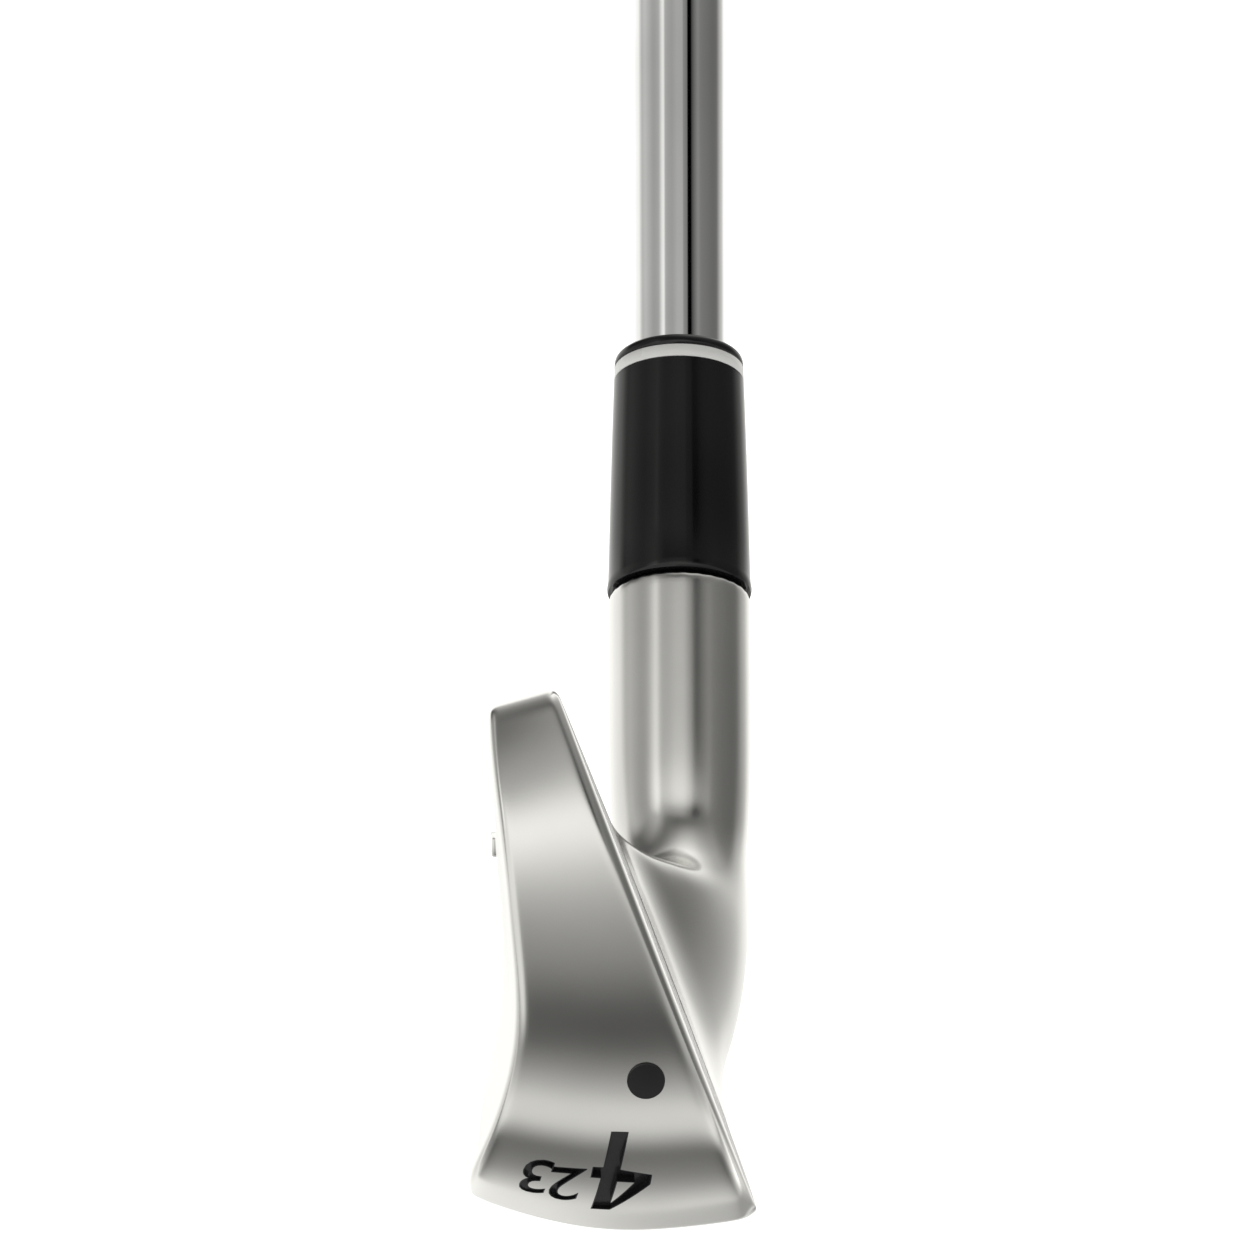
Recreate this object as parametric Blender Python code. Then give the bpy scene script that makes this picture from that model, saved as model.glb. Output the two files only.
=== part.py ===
"""Utility iron golf club, right-handed: hollow forged head, ferrule, stepped steel shaft and rubber grip.

Dimensions are in millimetres, and MM turns them into Blender's metres. Head pieces are drawn from the point
where the shaft's line meets the ground: +X is where the ball goes, +Y runs from the toe to the player and +Z
is up. Pieces on the shaft are turned about +Z and then leaned over to the lie angle. The origin of the whole
club is the point in the grip where the hands hold it.
"""

import math

import bmesh
import bpy
from mathutils import Vector

MM = 0.001
LIE = math.radians(61.0)
LOFT = math.radians(22.3)
HOLD = 868.0  # from the ground to the hands, along the shaft's line
CLUB_END = 978.0  # from the ground to the butt of the grip, along the same line

FACE_AT_GROUND = 6.0  # how far forward the face's plane meets the ground
TOP_AT_AXIS = 30.2  # height of the topline below the shaft's line
TOP_SLOPE = math.radians(22.4)
TOPLINE_WIDTH = 4.7
TOE_TOP_DROP = 2.4  # how far the topline turns down at its toe end
SOLE_LOW_Y = -30.0
SOLE_RADIUS = 115.0  # camber from toe to heel
SOLE_SAG = 2.5  # camber from front to back
LEADING_LIFT = 1.9
TRAILING_LIFT = 3.2
HEEL_Y = -8.0  # where the blade ends and the neck begins
HEEL_THINNING = 4.2
HEEL_THINNING_START = -34.0
TOE_OUTLINE = [
    (-58.5, 3.6),
    (-65.0, 8.6),
    (-69.2, 15.2),
    (-71.0, 24.0),
    (-69.8, 34.0),
    (-66.5, 43.4),
    (-60.5, 51.2),
]
BACK_PROFILE = [
    (3.0, -21.2),
    (5.5, -22.4),
    (9.0, -22.7),
    (13.6, -20.6),
    (18.3, -19.3),
    (23.0, -18.8),
    (27.0, -18.9),
    (32.0, -19.8),
    (38.0, -20.4),
    (43.0, -21.2),
    (48.0, -21.9),
    (56.0, -21.9),
]
SHOULDER_SLOPE = 0.95  # how fast the back thickens below the topline
SHOULDER_SOFTNESS = 0.8
TOE_FLARE = 0.055  # how much the low part of the back thickens towards the toe
FLARE_TOP = 21.0
FRONT_RIM = 1.9  # radii of the head's edges
TOP_RIM = 1.0
BACK_RIM = 1.1
SOLE_BACK_RIM = 3.0
RIM_SHARE = 0.56  # how far from its corner a rim's cage line lies, in radii
ACROSS = [0.0, 0.12, 0.24, 0.36, 0.48, 0.6, 0.71, 0.81, 0.89, 0.955, 1.0]  # cage lines from heel to toe
UPWARDS = [0.0, 0.045, 0.13, 0.26, 0.42, 0.58, 0.74, 0.87, 0.96, 1.0]  # cage lines from sole to topline

HOSEL_RADIUS = 6.95
HOSEL_START = 37.0
HOSEL_TOP = 59.1
NECK_STEPS = 8
NECK_HASTE_LOW = 5.0  # how much sooner the neck takes on the hosel's width than its height
NECK_HASTE_HIGH = 2.4
NECK_ROUNDING = 9
NECK_SWELL = 1.1  # of the neck's front, most of it close to the blade
BORE_RADIUS = 4.95
BORE_FLOOR = 27.0
WALL = 2.6
CLEAR = 0.3  # gap between a piece and the pocket it sits in
FIT = 0.12  # gap round the shaft
SEGMENTS = 32

PLATE_INSET = 2.6
PLATE_DEPTH = 2.2
PLATE_HEEL_Y = -12.0
CAVITY_INSET = 4.8
CAVITY_HEEL_Y = -14.0
SCORE_COUNT = 9
SCORE_PITCH = 3.6
SCORE_WIDTH = 0.8
SCORE_DEPTH = 0.35
SCORE_LOWEST = 8.0
SCORE_TOE_END = -60.5
SCORE_HEEL_END = -16.0
SCORE_TOP_CLEAR = 9.0  # how far below the topline a line stops

SOLE_WEIGHT_TOP = 11.0
TOE_WEIGHT_TOP = 17.0
TOE_WEIGHT_END = -56.0

PORT_RADIUS = 1.72
PORT_X = -7.2
PORT_HEIGHT = 18.6
PORT_DEPTH = 2.4

DIGIT_DEPTH = 0.75
PAINT_TOP = 0.3  # the paint stops this far below the toe's surface
DIGIT_GAP = 0.05
DIGIT_SIZE = 7.0
DIGIT_SLANT = 0.16
DIGIT_WEIGHT = 0.06
FOUR = [
    [
        (-0.4, -5.2),
        (1.2, -5.2),
        (1.74, -1.2),
        (2.7, -1.2),
        (2.85, 0.2),
        (1.93, 0.25),
        (2.6, 5.2),
        (0.85, 5.2),
        (-2.65, 1.0),
        (-2.75, -0.3),
        (0.16, -0.95),
    ],
    [(0.38, 0.65), (-1.15, 0.75), (0.82, 3.9)],
]
DIGITS = [
    ("club_number", "4", -8.95, 9.3),
    ("loft_first_digit", "2", -13.7, 8.4),
    ("loft_second_digit", "3", -16.4, 8.9),
]

BADGE_LOW = 34.2
BADGE_HIGH = 36.1
BADGE_TOE_END = -37.0
BADGE_HEEL_END = -32.0
BADGE_PROUD = 0.25
BADGE_DEPTH = 0.7
BADGE_GAP = 0.1

TIP_DIAMETER = 9.02
TIP_START = 29.0
TIP_TAPER = 0.00453
STEP_FIRST = 212.0
STEP_COUNT = 13
STEP_PITCH = 37.0
STEP_LENGTH = 1.6
BUTT_DIAMETER = 15.24
SHAFT_END = 972.0
SHAFT_WALL = 0.5
INNER_STEP_END = 660.0  # above this the tube's inside is straight
TIP_BORE_RADIUS = 3.5

PIN_START = 29.6
PIN_HEAD = 1.4
PIN_END = 42.6
PLUG_START = 43.2
PLUG_END = 52.0
BAND_START = 664.0
BAND_END = 704.0
LAYER = 0.2  # thickness of the label band and of the grip tape

FERRULE_START = 59.25
FERRULE_FLANK = [(7.16, 59.6), (7.05, 60.3), (6.86, 68.5), (6.66, 76.0), (6.45, 82.04)]
RING_START = 82.1
RING_RADII = (6.44, 6.40)
CAP_START = 83.4
CAP_PROFILE = [(6.39, 83.46), (6.33, 83.95), (6.10, 84.45), (5.65, 84.7)]
FERRULE_END = 84.7
FERRULE_SEAM = 0.06

GRIP_LENGTH = 266.0
GRIP_MOUTH_RADIUS = 8.9
GRIP_MOUTH_BEAD = 0.55
GRIP_BUTT_RADIUS = 13.4
GRIP_SECTIONS = 8
CAP_LENGTH = 4.5
CAP_SEAM = 0.1
VENT_RADIUS = 1.2

SHAFT_DIRECTION = Vector((0, math.cos(LIE), math.sin(LIE)))

MATERIALS = {
    "satin_chrome": ((0.72, 0.71, 0.69), 0.24, 1.0),
    "face_steel": ((0.66, 0.65, 0.63), 0.45, 1.0),
    "chrome": ((0.80, 0.80, 0.81), 0.06, 1.0),
    "tungsten": ((0.34, 0.34, 0.36), 0.45, 1.0),
    "brass": ((0.72, 0.55, 0.27), 0.35, 1.0),
    "gloss_black": ((0.012, 0.012, 0.013), 0.10, 0.0),
    "light_ring": ((0.68, 0.68, 0.67), 0.30, 0.0),
    "black_paint": ((0.010, 0.010, 0.010), 0.35, 0.0),
    "port_black": ((0.018, 0.018, 0.018), 0.50, 0.0),
    "soft_polymer": ((0.55, 0.57, 0.60), 0.60, 0.0),
    "glue": ((0.62, 0.58, 0.45), 0.50, 0.0),
    "cork": ((0.55, 0.40, 0.26), 0.85, 0.0),
    "label": ((0.75, 0.75, 0.74), 0.40, 0.0),
    "tape": ((0.80, 0.77, 0.66), 0.80, 0.0),
    "grip_rubber": ((0.020, 0.020, 0.021), 0.75, 0.0),
}


def clear_scene():
    for obj in list(bpy.data.objects):
        bpy.data.objects.remove(obj)


def make_materials():
    for name, (color, roughness, metallic) in MATERIALS.items():
        material = bpy.data.materials.new(name)
        material.use_nodes = True
        shader = material.node_tree.nodes["Principled BSDF"]
        shader.inputs["Base Color"].default_value = (*color, 1.0)
        shader.inputs["Roughness"].default_value = roughness
        shader.inputs["Metallic"].default_value = metallic


def add_empty(name, place, turn=(0.0, 0.0, 0.0)):
    empty = bpy.data.objects.new(name, None)
    empty.location = place
    empty.rotation_euler = turn
    bpy.context.scene.collection.objects.link(empty)
    return empty


def add_piece(name, bm, parent, material=None):
    """A mesh object from millimetre geometry. Without a material it is a cutter, which no one sees."""
    bmesh.ops.recalc_face_normals(bm, faces=bm.faces)
    bmesh.ops.scale(bm, vec=(MM, MM, MM), verts=bm.verts)
    mesh = bpy.data.meshes.new(name)
    bm.to_mesh(mesh)
    bm.free()
    piece = bpy.data.objects.new(name, mesh)
    bpy.context.scene.collection.objects.link(piece)
    piece.parent = parent
    if material is None:
        piece.hide_render = True
        piece.display_type = "WIRE"
    else:
        mesh.materials.append(bpy.data.materials[material])
    return piece


def boolean(piece, other, operation="DIFFERENCE", solver="EXACT"):
    modifier = piece.modifiers.new(f"{operation.lower()} {other.name}", "BOOLEAN")
    modifier.operation = operation
    modifier.object = other
    modifier.solver = solver


def shade(piece, angle=35.0):
    piece.data.shade_smooth()
    piece.data.set_sharp_from_angle(angle=math.radians(angle))


# --- The head's outline and surfaces


def along(points, t):
    """The point at share t of a smooth curve through the points, measured by chord length."""
    lengths = [math.dist(points[i], points[i + 1]) for i in range(len(points) - 1)]
    target = min(max(t, 0.0), 1.0) * sum(lengths)
    index = 0
    while index < len(lengths) - 1 and target > lengths[index]:
        target -= lengths[index]
        index += 1
    s = target / lengths[index]
    before = points[max(index - 1, 0)]
    after = points[min(index + 2, len(points) - 1)]
    start, end = points[index], points[index + 1]
    result = []
    for p0, p1, p2, p3 in zip(before, start, end, after):
        result.append(
            p1 + 0.5 * s * (p2 - p0 + s * (2 * p0 - 5 * p1 + 4 * p2 - p3 + s * (3 * (p1 - p2) + p3 - p0)))
        )
    return result


def face_x(z):
    return FACE_AT_GROUND - z * math.tan(LOFT)


def topline_z(y):
    return TOP_AT_AXIS - y * math.tan(TOP_SLOPE)


def sole_edge(y):
    """The leading edge at y, as a point (y, z)."""
    share = (y - HEEL_Y) / (TOE_OUTLINE[0][0] - HEEL_Y)
    camber = (y - SOLE_LOW_Y) ** 2 / (2 * SOLE_RADIUS)
    return Vector((y, camber + LEADING_LIFT * (1 - 0.35 * max(share, 0.0) ** 4)))


def top_edge(y):
    """The topline's front edge at y, as a point (y, z)."""
    share = (y - HEEL_Y) / (TOE_OUTLINE[-1][0] - HEEL_Y)
    return Vector((y, topline_z(y) - TOE_TOP_DROP * (max(share - 0.86, 0.0) / 0.14) ** 1.5))


def outline_point(heel_y, u, v):
    """A point (y, z) over the face: u runs from heel to toe and v from sole to topline."""
    sole_start, sole_end = sole_edge(heel_y), sole_edge(TOE_OUTLINE[0][0])
    top_start, top_end = top_edge(heel_y), top_edge(TOE_OUTLINE[-1][0])
    sole = sole_edge(sole_start.x + (sole_end.x - sole_start.x) * u)
    top = top_edge(top_start.x + (top_end.x - top_start.x) * u)
    toe = Vector(along([tuple(sole_end), *TOE_OUTLINE[1:-1], tuple(top_end)], v))
    sides = sole.lerp(top, v) + sole_start.lerp(top_start, v).lerp(toe, u)
    return sides - sole_start.lerp(sole_end, u).lerp(top_start.lerp(top_end, u), v)


def profile_x(z):
    """The back of the muscle at height z, by straight interpolation of BACK_PROFILE."""
    for (z0, x0), (z1, x1) in zip(BACK_PROFILE, BACK_PROFILE[1:]):
        if z <= z1:
            return x0 + (x1 - x0) * (z - z0) / (z1 - z0)
    return BACK_PROFILE[-1][1]


def back_x(y, z):
    """The head's back: the muscle, cut away by a shoulder that starts at the topline's rear edge."""
    top = topline_z(max(min(y, HEEL_Y), TOE_OUTLINE[-1][0]))
    rear_z = top - TOPLINE_WIDTH * math.sin(LOFT)
    rear_x = face_x(top) - TOPLINE_WIDTH * math.cos(LOFT)
    shoulder = rear_x - SHOULDER_SLOPE * max(rear_z - z, 0.0)
    heel_share = min(max((y - HEEL_THINNING_START) / (HEEL_Y - HEEL_THINNING_START), 0.0), 1.0)
    muscle = profile_x(z) + HEEL_THINNING * heel_share**2
    near = max(SHOULDER_SOFTNESS - abs(shoulder - muscle), 0.0) / SHOULDER_SOFTNESS
    low_share = min(max((FLARE_TOP - z) / 12.0, 0.0), 1.0)
    flare = TOE_FLARE * low_share * (min(y, HEEL_THINNING_START) + 60.0)
    return max(shoulder, muscle) + near * near * SHOULDER_SOFTNESS * 0.25 + flare


def rim_radius(v):
    return FRONT_RIM + (TOP_RIM - FRONT_RIM) * v * v


# --- The head's cage


def head_cage():
    """The closed cage of head and hosel, as a bmesh of quads."""
    grid = [[outline_point(HEEL_Y, u, v) for v in UPWARDS] for u in ACROSS]
    last_u, last_v = len(ACROSS) - 1, len(UPWARDS) - 1
    bm = bmesh.new()
    front, back, corners = [], [], {}
    for i, row in enumerate(grid):
        front_row, back_row = [], []
        for j, (v, (y, z)) in enumerate(zip(UPWARDS, row)):
            inner = grid[min(i, last_u - 1)][min(max(j, 1), last_v - 1)]
            rim = (inner - row[j]).normalized() * rim_radius(v) * RIM_SHARE
            if i == last_u and j in (0, last_v):
                rim *= 1.4
            near_y, near_z = row[j] + rim
            front_row.append(bm.verts.new((face_x(near_z), near_y, near_z)))
            corners[front_row[-1]] = Vector((face_x(z), y, z))
            drop = TOPLINE_WIDTH * math.sin(LOFT) * v**3
            lift = (TRAILING_LIFT - LEADING_LIFT) * (1 - v) ** 3
            z_back = z - drop + lift
            back_row.append(bm.verts.new((back_x(y, z_back), y, z_back)))
        front.append(front_row)
        back.append(back_row)

    def band(front_vert, back_vert, outward, sag, rim, back_rim):
        start, end = corners[front_vert], back_vert.co
        width = (end - start).length
        back_share = min(back_rim / width, 0.22)
        line = [front_vert]
        for t in (rim * RIM_SHARE / width, rim * 1.25 / width, 0.42, 0.66, 1 - back_share):
            line.append(bm.verts.new(start.lerp(end, t) + outward * sag * 4 * t * (1 - t)))
        line.append(back_vert)
        return line

    down = Vector((0, 0, -1))
    top_lines, sole_lines = [], []
    for i in range(last_u + 1):
        top_lines.append(band(front[i][last_v], back[i][last_v], down, 0.0, rim_radius(1), BACK_RIM))
        sole_lines.append(band(front[i][0], back[i][0], down, SOLE_SAG, rim_radius(0), SOLE_BACK_RIM))
    toe_lines = [sole_lines[last_u]]
    for j in range(1, last_v):
        y0, z0 = grid[last_u][j - 1]
        y1, z1 = grid[last_u][j + 1]
        outward = Vector((0, -(z1 - z0), y1 - y0)).normalized()
        low = (1 - UPWARDS[j]) ** 6
        back_rim = BACK_RIM + (SOLE_BACK_RIM - BACK_RIM) * low
        front_rim = rim_radius(UPWARDS[j])
        toe_lines.append(band(front[last_u][j], back[last_u][j], outward, SOLE_SAG * low, front_rim, back_rim))
    toe_lines.append(top_lines[last_u])

    for i in range(last_u):
        for j in range(last_v):
            bm.faces.new((front[i][j], front[i + 1][j], front[i + 1][j + 1], front[i][j + 1]))
            bm.faces.new((back[i][j], back[i][j + 1], back[i + 1][j + 1], back[i + 1][j]))
    for lines in (top_lines, sole_lines, toe_lines):
        for one, two in zip(lines, lines[1:]):
            for k in range(len(one) - 1):
                bm.faces.new((one[k], one[k + 1], two[k + 1], two[k]))

    ring = front[0] + top_lines[0][1:-1] + back[0][::-1] + sole_lines[0][1:-1][::-1]
    inner = front[1] + top_lines[1][1:-1] + back[1][::-1] + sole_lines[1][1:-1][::-1]
    add_neck(bm, ring, inner, last_v)
    return bm


def add_neck(bm, ring, inner, last_v):
    """Rings that carry the blade's last section round the heel, into the hosel's circle and up to its top."""
    count = len(ring)
    inwards = Vector((0, -math.sin(LIE), math.cos(LIE)))
    cage_radius = HOSEL_RADIUS * 6 / (4 + 2 * math.cos(2 * math.pi / count))  # smoothing draws a ring in
    starts = [vert.co.copy() for vert in ring]
    ends = []
    for k in range(count):
        angle = 2 * math.pi * (k - last_v / 2) / count
        spoke = Vector((1, 0, 0)) * math.cos(angle) + inwards * math.sin(angle)
        ends.append(SHAFT_DIRECTION * HOSEL_START + spoke * cage_radius)
    rings = [ring]
    for step in range(1, NECK_STEPS + 1):
        s = step / NECK_STEPS
        points = []
        for k in range(count):
            height = min(max(starts[k].z / topline_z(HEEL_Y), 0.0), 1.0)
            early = 1 - (1 - s) ** (NECK_HASTE_LOW + (NECK_HASTE_HIGH - NECK_HASTE_LOW) * height)
            reach = (ends[k] - starts[k]).length * 1.5
            leave = (starts[k] - inner[k].co).normalized() * reach
            arrive = SHAFT_DIRECTION * reach
            point = starts[k] * (2 * s**3 - 3 * s**2 + 1) + leave * (s**3 - 2 * s**2 + s)
            point += ends[k] * (3 * s**2 - 2 * s**3) + arrive * (s**3 - s**2)
            point.x = starts[k].x + (ends[k].x - starts[k].x) * early
            points.append(point)
        for _ in range(NECK_ROUNDING if step < NECK_STEPS else 0):
            middles = [(points[k - 1] + points[(k + 1) % count]) / 2 for k in range(count)]
            points = [point.lerp(middle, 0.5) for point, middle in zip(points, middles)]
        swell = NECK_SWELL * 6.75 * s * (1 - s) ** 2
        for k, point in enumerate(points):
            point.x += swell * max(math.cos(2 * math.pi * (k - last_v / 2) / count), 0.0)
        rings.append([bm.verts.new(point) for point in points])
    for height in (HOSEL_TOP - 8.0, HOSEL_TOP - 0.3, HOSEL_TOP):
        rise = SHAFT_DIRECTION * (height - HOSEL_START)
        rings.append([bm.verts.new(end + rise) for end in ends])
    for one, two in zip(rings, rings[1:]):
        for k in range(count):
            bm.faces.new((one[k], one[(k + 1) % count], two[(k + 1) % count], two[k]))
    bm.faces.new(rings[-1])


# --- Solids cut into the head, and the pieces that sit there


def face_slab(inset, heel_y, near, far_of, steps=8):
    """A solid inside the face's outline, from a distance near ahead of the face to the x that far_of gives."""
    outline = []
    for k in range(4 * steps):
        side, share = k // steps, k % steps / steps
        u = (share, 1, 1 - share, 0)[side] * (1 - inset / 52)
        v = (0, share, 1, 1 - share)[side]
        height = outline_point(heel_y, u, 1).y - outline_point(heel_y, u, 0).y
        outline.append(outline_point(heel_y, u, v + (1 - 2 * v) * inset / height))
    count = len(outline)
    middle = sum(outline, Vector((0, 0))) / count
    bm = bmesh.new()
    fronts, backs = [], []
    for share in (1.0, 0.66, 0.33):
        points = [middle.lerp(point, share) for point in outline]
        fronts.append([bm.verts.new((face_x(z) + near, y, z)) for y, z in points])
        backs.append([bm.verts.new((far_of(y, z), y, z)) for y, z in points])
    for k in range(count):
        n = (k + 1) % count
        bm.faces.new((fronts[0][k], fronts[0][n], backs[0][n], backs[0][k]))
        for rings in (fronts, backs):
            for one, two in zip(rings, rings[1:]):
                bm.faces.new((one[k], one[n], two[n], two[k]))
    bm.faces.new(fronts[-1])
    bm.faces.new(backs[-1])
    bmesh.ops.triangulate(bm, faces=bm.faces)
    return bm


def grow(outline, amount):
    """The outline with its sides moved outwards, or inwards for a negative amount."""
    area = sum(a[0] * b[1] - b[0] * a[1] for a, b in zip(outline, outline[1:] + outline[:1]))
    turn = 1 if area > 0 else -1
    result = []
    for k, point in enumerate(outline):
        here = Vector(point)
        before = (here - Vector(outline[k - 1])).normalized()
        after = (Vector(outline[(k + 1) % len(outline)]) - here).normalized()
        mitre = Vector((before.y + after.y, -before.x - after.x)).normalized()
        stretch = 1 / max(mitre.dot(Vector((before.y, -before.x))), 0.35)
        result.append(tuple(here + mitre * amount * stretch * turn))
    return result


def prism(outlines, origin, right, up, low, high):
    """A straight solid over flat outlines; a second outline is a hole in the first."""
    bm = bmesh.new()
    out = right.cross(up)
    for outline in outlines:
        rings = []
        for height in (low, high):
            rings.append([bm.verts.new(origin + right * x + up * y + out * height) for x, y in outline])
        for k in range(len(outline)):
            n = (k + 1) % len(outline)
            bm.faces.new((rings[0][k], rings[0][n], rings[1][n], rings[1][k]))
    for height in (low, high):
        rim = []
        for edge in bm.edges:
            if len(edge.link_faces) == 1 and abs((edge.verts[0].co - origin).dot(out) - height) < 0.001:
                rim.append(edge)
        bmesh.ops.triangle_fill(bm, use_beauty=True, edges=rim)
    return bm


def box_outline(x0, x1, y0, y1):
    return [(x0, y0), (x1, y0), (x1, y1), (x0, y1)]


def turned(profile, segments=SEGMENTS):
    """A solid turned about +Z from a closed profile of (radius, height). A radius of 0 is on the axis."""
    bm = bmesh.new()
    rings = []
    for radius, height in profile:
        if radius == 0:
            rings.append([bm.verts.new((0, 0, height))] * segments)
            continue
        ring = []
        for k in range(segments):
            angle = 2 * math.pi * k / segments
            ring.append(bm.verts.new((radius * math.cos(angle), radius * math.sin(angle), height)))
        rings.append(ring)
    pairs = list(zip(rings, rings[1:]))
    if profile[0][0] != 0:
        pairs.append((rings[-1], rings[0]))
    for one, two in pairs:
        for k in range(segments):
            n = (k + 1) % segments
            corners = []
            for vert in (one[k], one[n], two[n], two[k]):
                if vert not in corners:
                    corners.append(vert)
            bm.faces.new(corners)
    return bm


def toe_place(height):
    """The toe's outline at a height: its point and its outward direction, both in the plane across the head."""
    points = [along(TOE_OUTLINE, k / 400) for k in range(401)]
    index = min(range(1, 400), key=lambda k: abs(points[k][1] - height))
    before, after = points[index - 1], points[index + 1]
    outward = Vector((0, -(after[1] - before[1]), after[0] - before[0])).normalized()
    return Vector((0, *points[index])), outward


def make_head(ground):
    head = add_piece("head_body", head_cage(), ground, "satin_chrome")
    smooth = head.modifiers.new("smooth", "SUBSURF")
    smooth.levels = 1
    smooth.render_levels = 1
    pocket = face_slab(PLATE_INSET, PLATE_HEEL_Y, 3.0, lambda y, z: face_x(z) - PLATE_DEPTH)
    boolean(head, add_piece("plate_pocket", pocket, ground))

    def cavity_back(y, z):
        return max(back_x(y, z), profile_x(z)) + WALL

    cavity = face_slab(CAVITY_INSET, CAVITY_HEEL_Y, 0.5 - PLATE_DEPTH, cavity_back)
    boolean(head, add_piece("cavity", cavity, ground))
    shade(head)

    def fill_back(y, z):
        return cavity_back(y, z) + CLEAR

    def inner_piece(name, zone, material):
        fill = face_slab(CAVITY_INSET + CLEAR, CAVITY_HEEL_Y - CLEAR, -PLATE_DEPTH - CLEAR, fill_back)
        piece = add_piece(name, fill, ground, material)
        block = prism([zone], Vector((-40.0, 0, 0)), Vector((0, 1, 0)), Vector((0, 0, 1)), 0.0, 60.0)
        zone_block = add_piece(f"{name}_zone", block, ground)
        boolean(piece, zone_block, "INTERSECT", "MANIFOLD")  # EXACT leaves nothing here

    toe_weight_low = SOLE_WEIGHT_TOP + CLEAR
    insert_low = TOE_WEIGHT_TOP + CLEAR
    inner_piece("sole_weight", box_outline(-80.0, 0.0, -5.0, SOLE_WEIGHT_TOP), "tungsten")
    inner_piece("toe_weight", box_outline(-80.0, TOE_WEIGHT_END, toe_weight_low, TOE_WEIGHT_TOP), "tungsten")
    insert_zone = [
        (-80.0, insert_low),
        (TOE_WEIGHT_END + CLEAR, insert_low),
        (TOE_WEIGHT_END + CLEAR, toe_weight_low),
        (0.0, toe_weight_low),
        (0.0, 60.0),
        (-80.0, 60.0),
    ]
    inner_piece("damping_insert", insert_zone, "soft_polymer")
    return head


def make_plate(ground):
    inset, heel_y = PLATE_INSET + CLEAR, PLATE_HEEL_Y - CLEAR
    blank = face_slab(inset, heel_y, 0.0, lambda y, z: face_x(z) - PLATE_DEPTH + CLEAR)
    plate = add_piece("face_plate", blank, ground, "face_steel")
    up = Vector((-math.sin(LOFT), 0, math.cos(LOFT)))
    for k in range(SCORE_COUNT):
        z = SCORE_LOWEST + k * SCORE_PITCH * math.cos(LOFT)
        toe_end = SCORE_TOE_END + (2.5 if k == 0 else 0.0)
        heel_end = min(SCORE_HEEL_END, (TOP_AT_AXIS - z - SCORE_TOP_CLEAR) / math.tan(TOP_SLOPE))
        outline = box_outline(toe_end, heel_end, -SCORE_WIDTH / 2, SCORE_WIDTH / 2)
        place = Vector((face_x(z), 0, z))
        groove = prism([outline], place, Vector((0, 1, 0)), up, -SCORE_DEPTH, 1.0)
        boolean(plate, add_piece(f"score_line_{k + 1}", groove, ground))


def make_port_plug(head, ground):
    point, outward = toe_place(PORT_HEIGHT)
    turn = Vector((0, 0, 1)).rotation_difference(outward).to_euler()
    place = add_empty("toe_port", (point + Vector((PORT_X, 0, 0))) * MM, turn)
    place.parent = ground
    hole = [(0, -PORT_DEPTH - 6.0), (PORT_RADIUS, -PORT_DEPTH - 6.0), (PORT_RADIUS, 3.0), (0, 3.0)]
    boolean(head, add_piece("toe_port_hole", turned(hole, 24), place))
    radius = PORT_RADIUS - 0.1
    plug = [(0, -PORT_DEPTH), (radius, -PORT_DEPTH), (radius, -0.15), (radius - 0.1, 0.0), (0, 0.0)]
    shade(add_piece("toe_port_plug", turned(plug, 24), place, "port_black"))


def digit_outlines(text):
    """The digit's outlines, drawn upright: FOUR, or one from Blender's own font."""
    if text == "4":
        return FOUR
    curve = bpy.data.curves.new(f"digit {text}", "FONT")
    curve.body = text
    curve.size = DIGIT_SIZE
    curve.shear = DIGIT_SLANT
    curve.offset = DIGIT_WEIGHT
    curve.align_x = "CENTER"
    curve.align_y = "CENTER"
    curve.resolution_u = 2
    holder = bpy.data.objects.new(f"digit {text}", curve)
    bpy.context.scene.collection.objects.link(holder)
    bpy.context.view_layer.update()
    mesh = bpy.data.meshes.new_from_object(holder.evaluated_get(bpy.context.evaluated_depsgraph_get()))
    bpy.data.objects.remove(holder)
    bm = bmesh.new()
    bm.from_mesh(mesh)
    bmesh.ops.remove_doubles(bm, verts=bm.verts, dist=0.001)
    rim = {edge for edge in bm.edges if len(edge.link_faces) == 1}
    edge = min(rim, key=lambda e: e.index)
    vert = edge.verts[0]
    outline = []
    while edge:
        outline.append((vert.co.x, vert.co.y))
        rim.discard(edge)
        vert = edge.other_vert(vert)
        edge = next((e for e in vert.link_edges if e in rim), None)
    bm.free()
    return [outline]


def make_numbers(head, ground):
    """The club's number and its loft in degrees, engraved in the toe and painted, read with the sole up."""
    for name, text, x, height in DIGITS:
        point, outward = toe_place(height)
        origin = point + Vector((x, 0, 0))
        right = Vector((-1, 0, 0))
        up = outward.cross(right)
        outlines = digit_outlines(text)
        recess = prism(outlines, origin, right, up, -DIGIT_DEPTH, 2.5)
        boolean(head, add_piece(f"{name}_recess", recess, ground))
        smaller = [grow(outlines[0], -DIGIT_GAP)] + [grow(hole, DIGIT_GAP) for hole in outlines[1:]]
        fill = prism(smaller, origin, right, up, DIGIT_GAP - DIGIT_DEPTH, -PAINT_TOP)
        add_piece(f"{name}_fill", fill, ground, "black_paint")


def make_badge(head, ground):
    back = Vector((back_x(BADGE_HEEL_END, (BADGE_LOW + BADGE_HIGH) / 2), 0, 0))
    right, up = Vector((0, -1, 0)), Vector((0, 0, 1))
    outline = box_outline(-BADGE_HEEL_END, -BADGE_TOE_END, BADGE_LOW, BADGE_HIGH)
    recess = prism([outline], back, right, up, -BADGE_DEPTH, 3.0)
    boolean(head, add_piece("badge_recess", recess, ground))
    bar = prism([grow(outline, -BADGE_GAP)], back, right, up, BADGE_GAP - BADGE_DEPTH, BADGE_PROUD)
    add_piece("back_badge", bar, ground, "satin_chrome")


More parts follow.
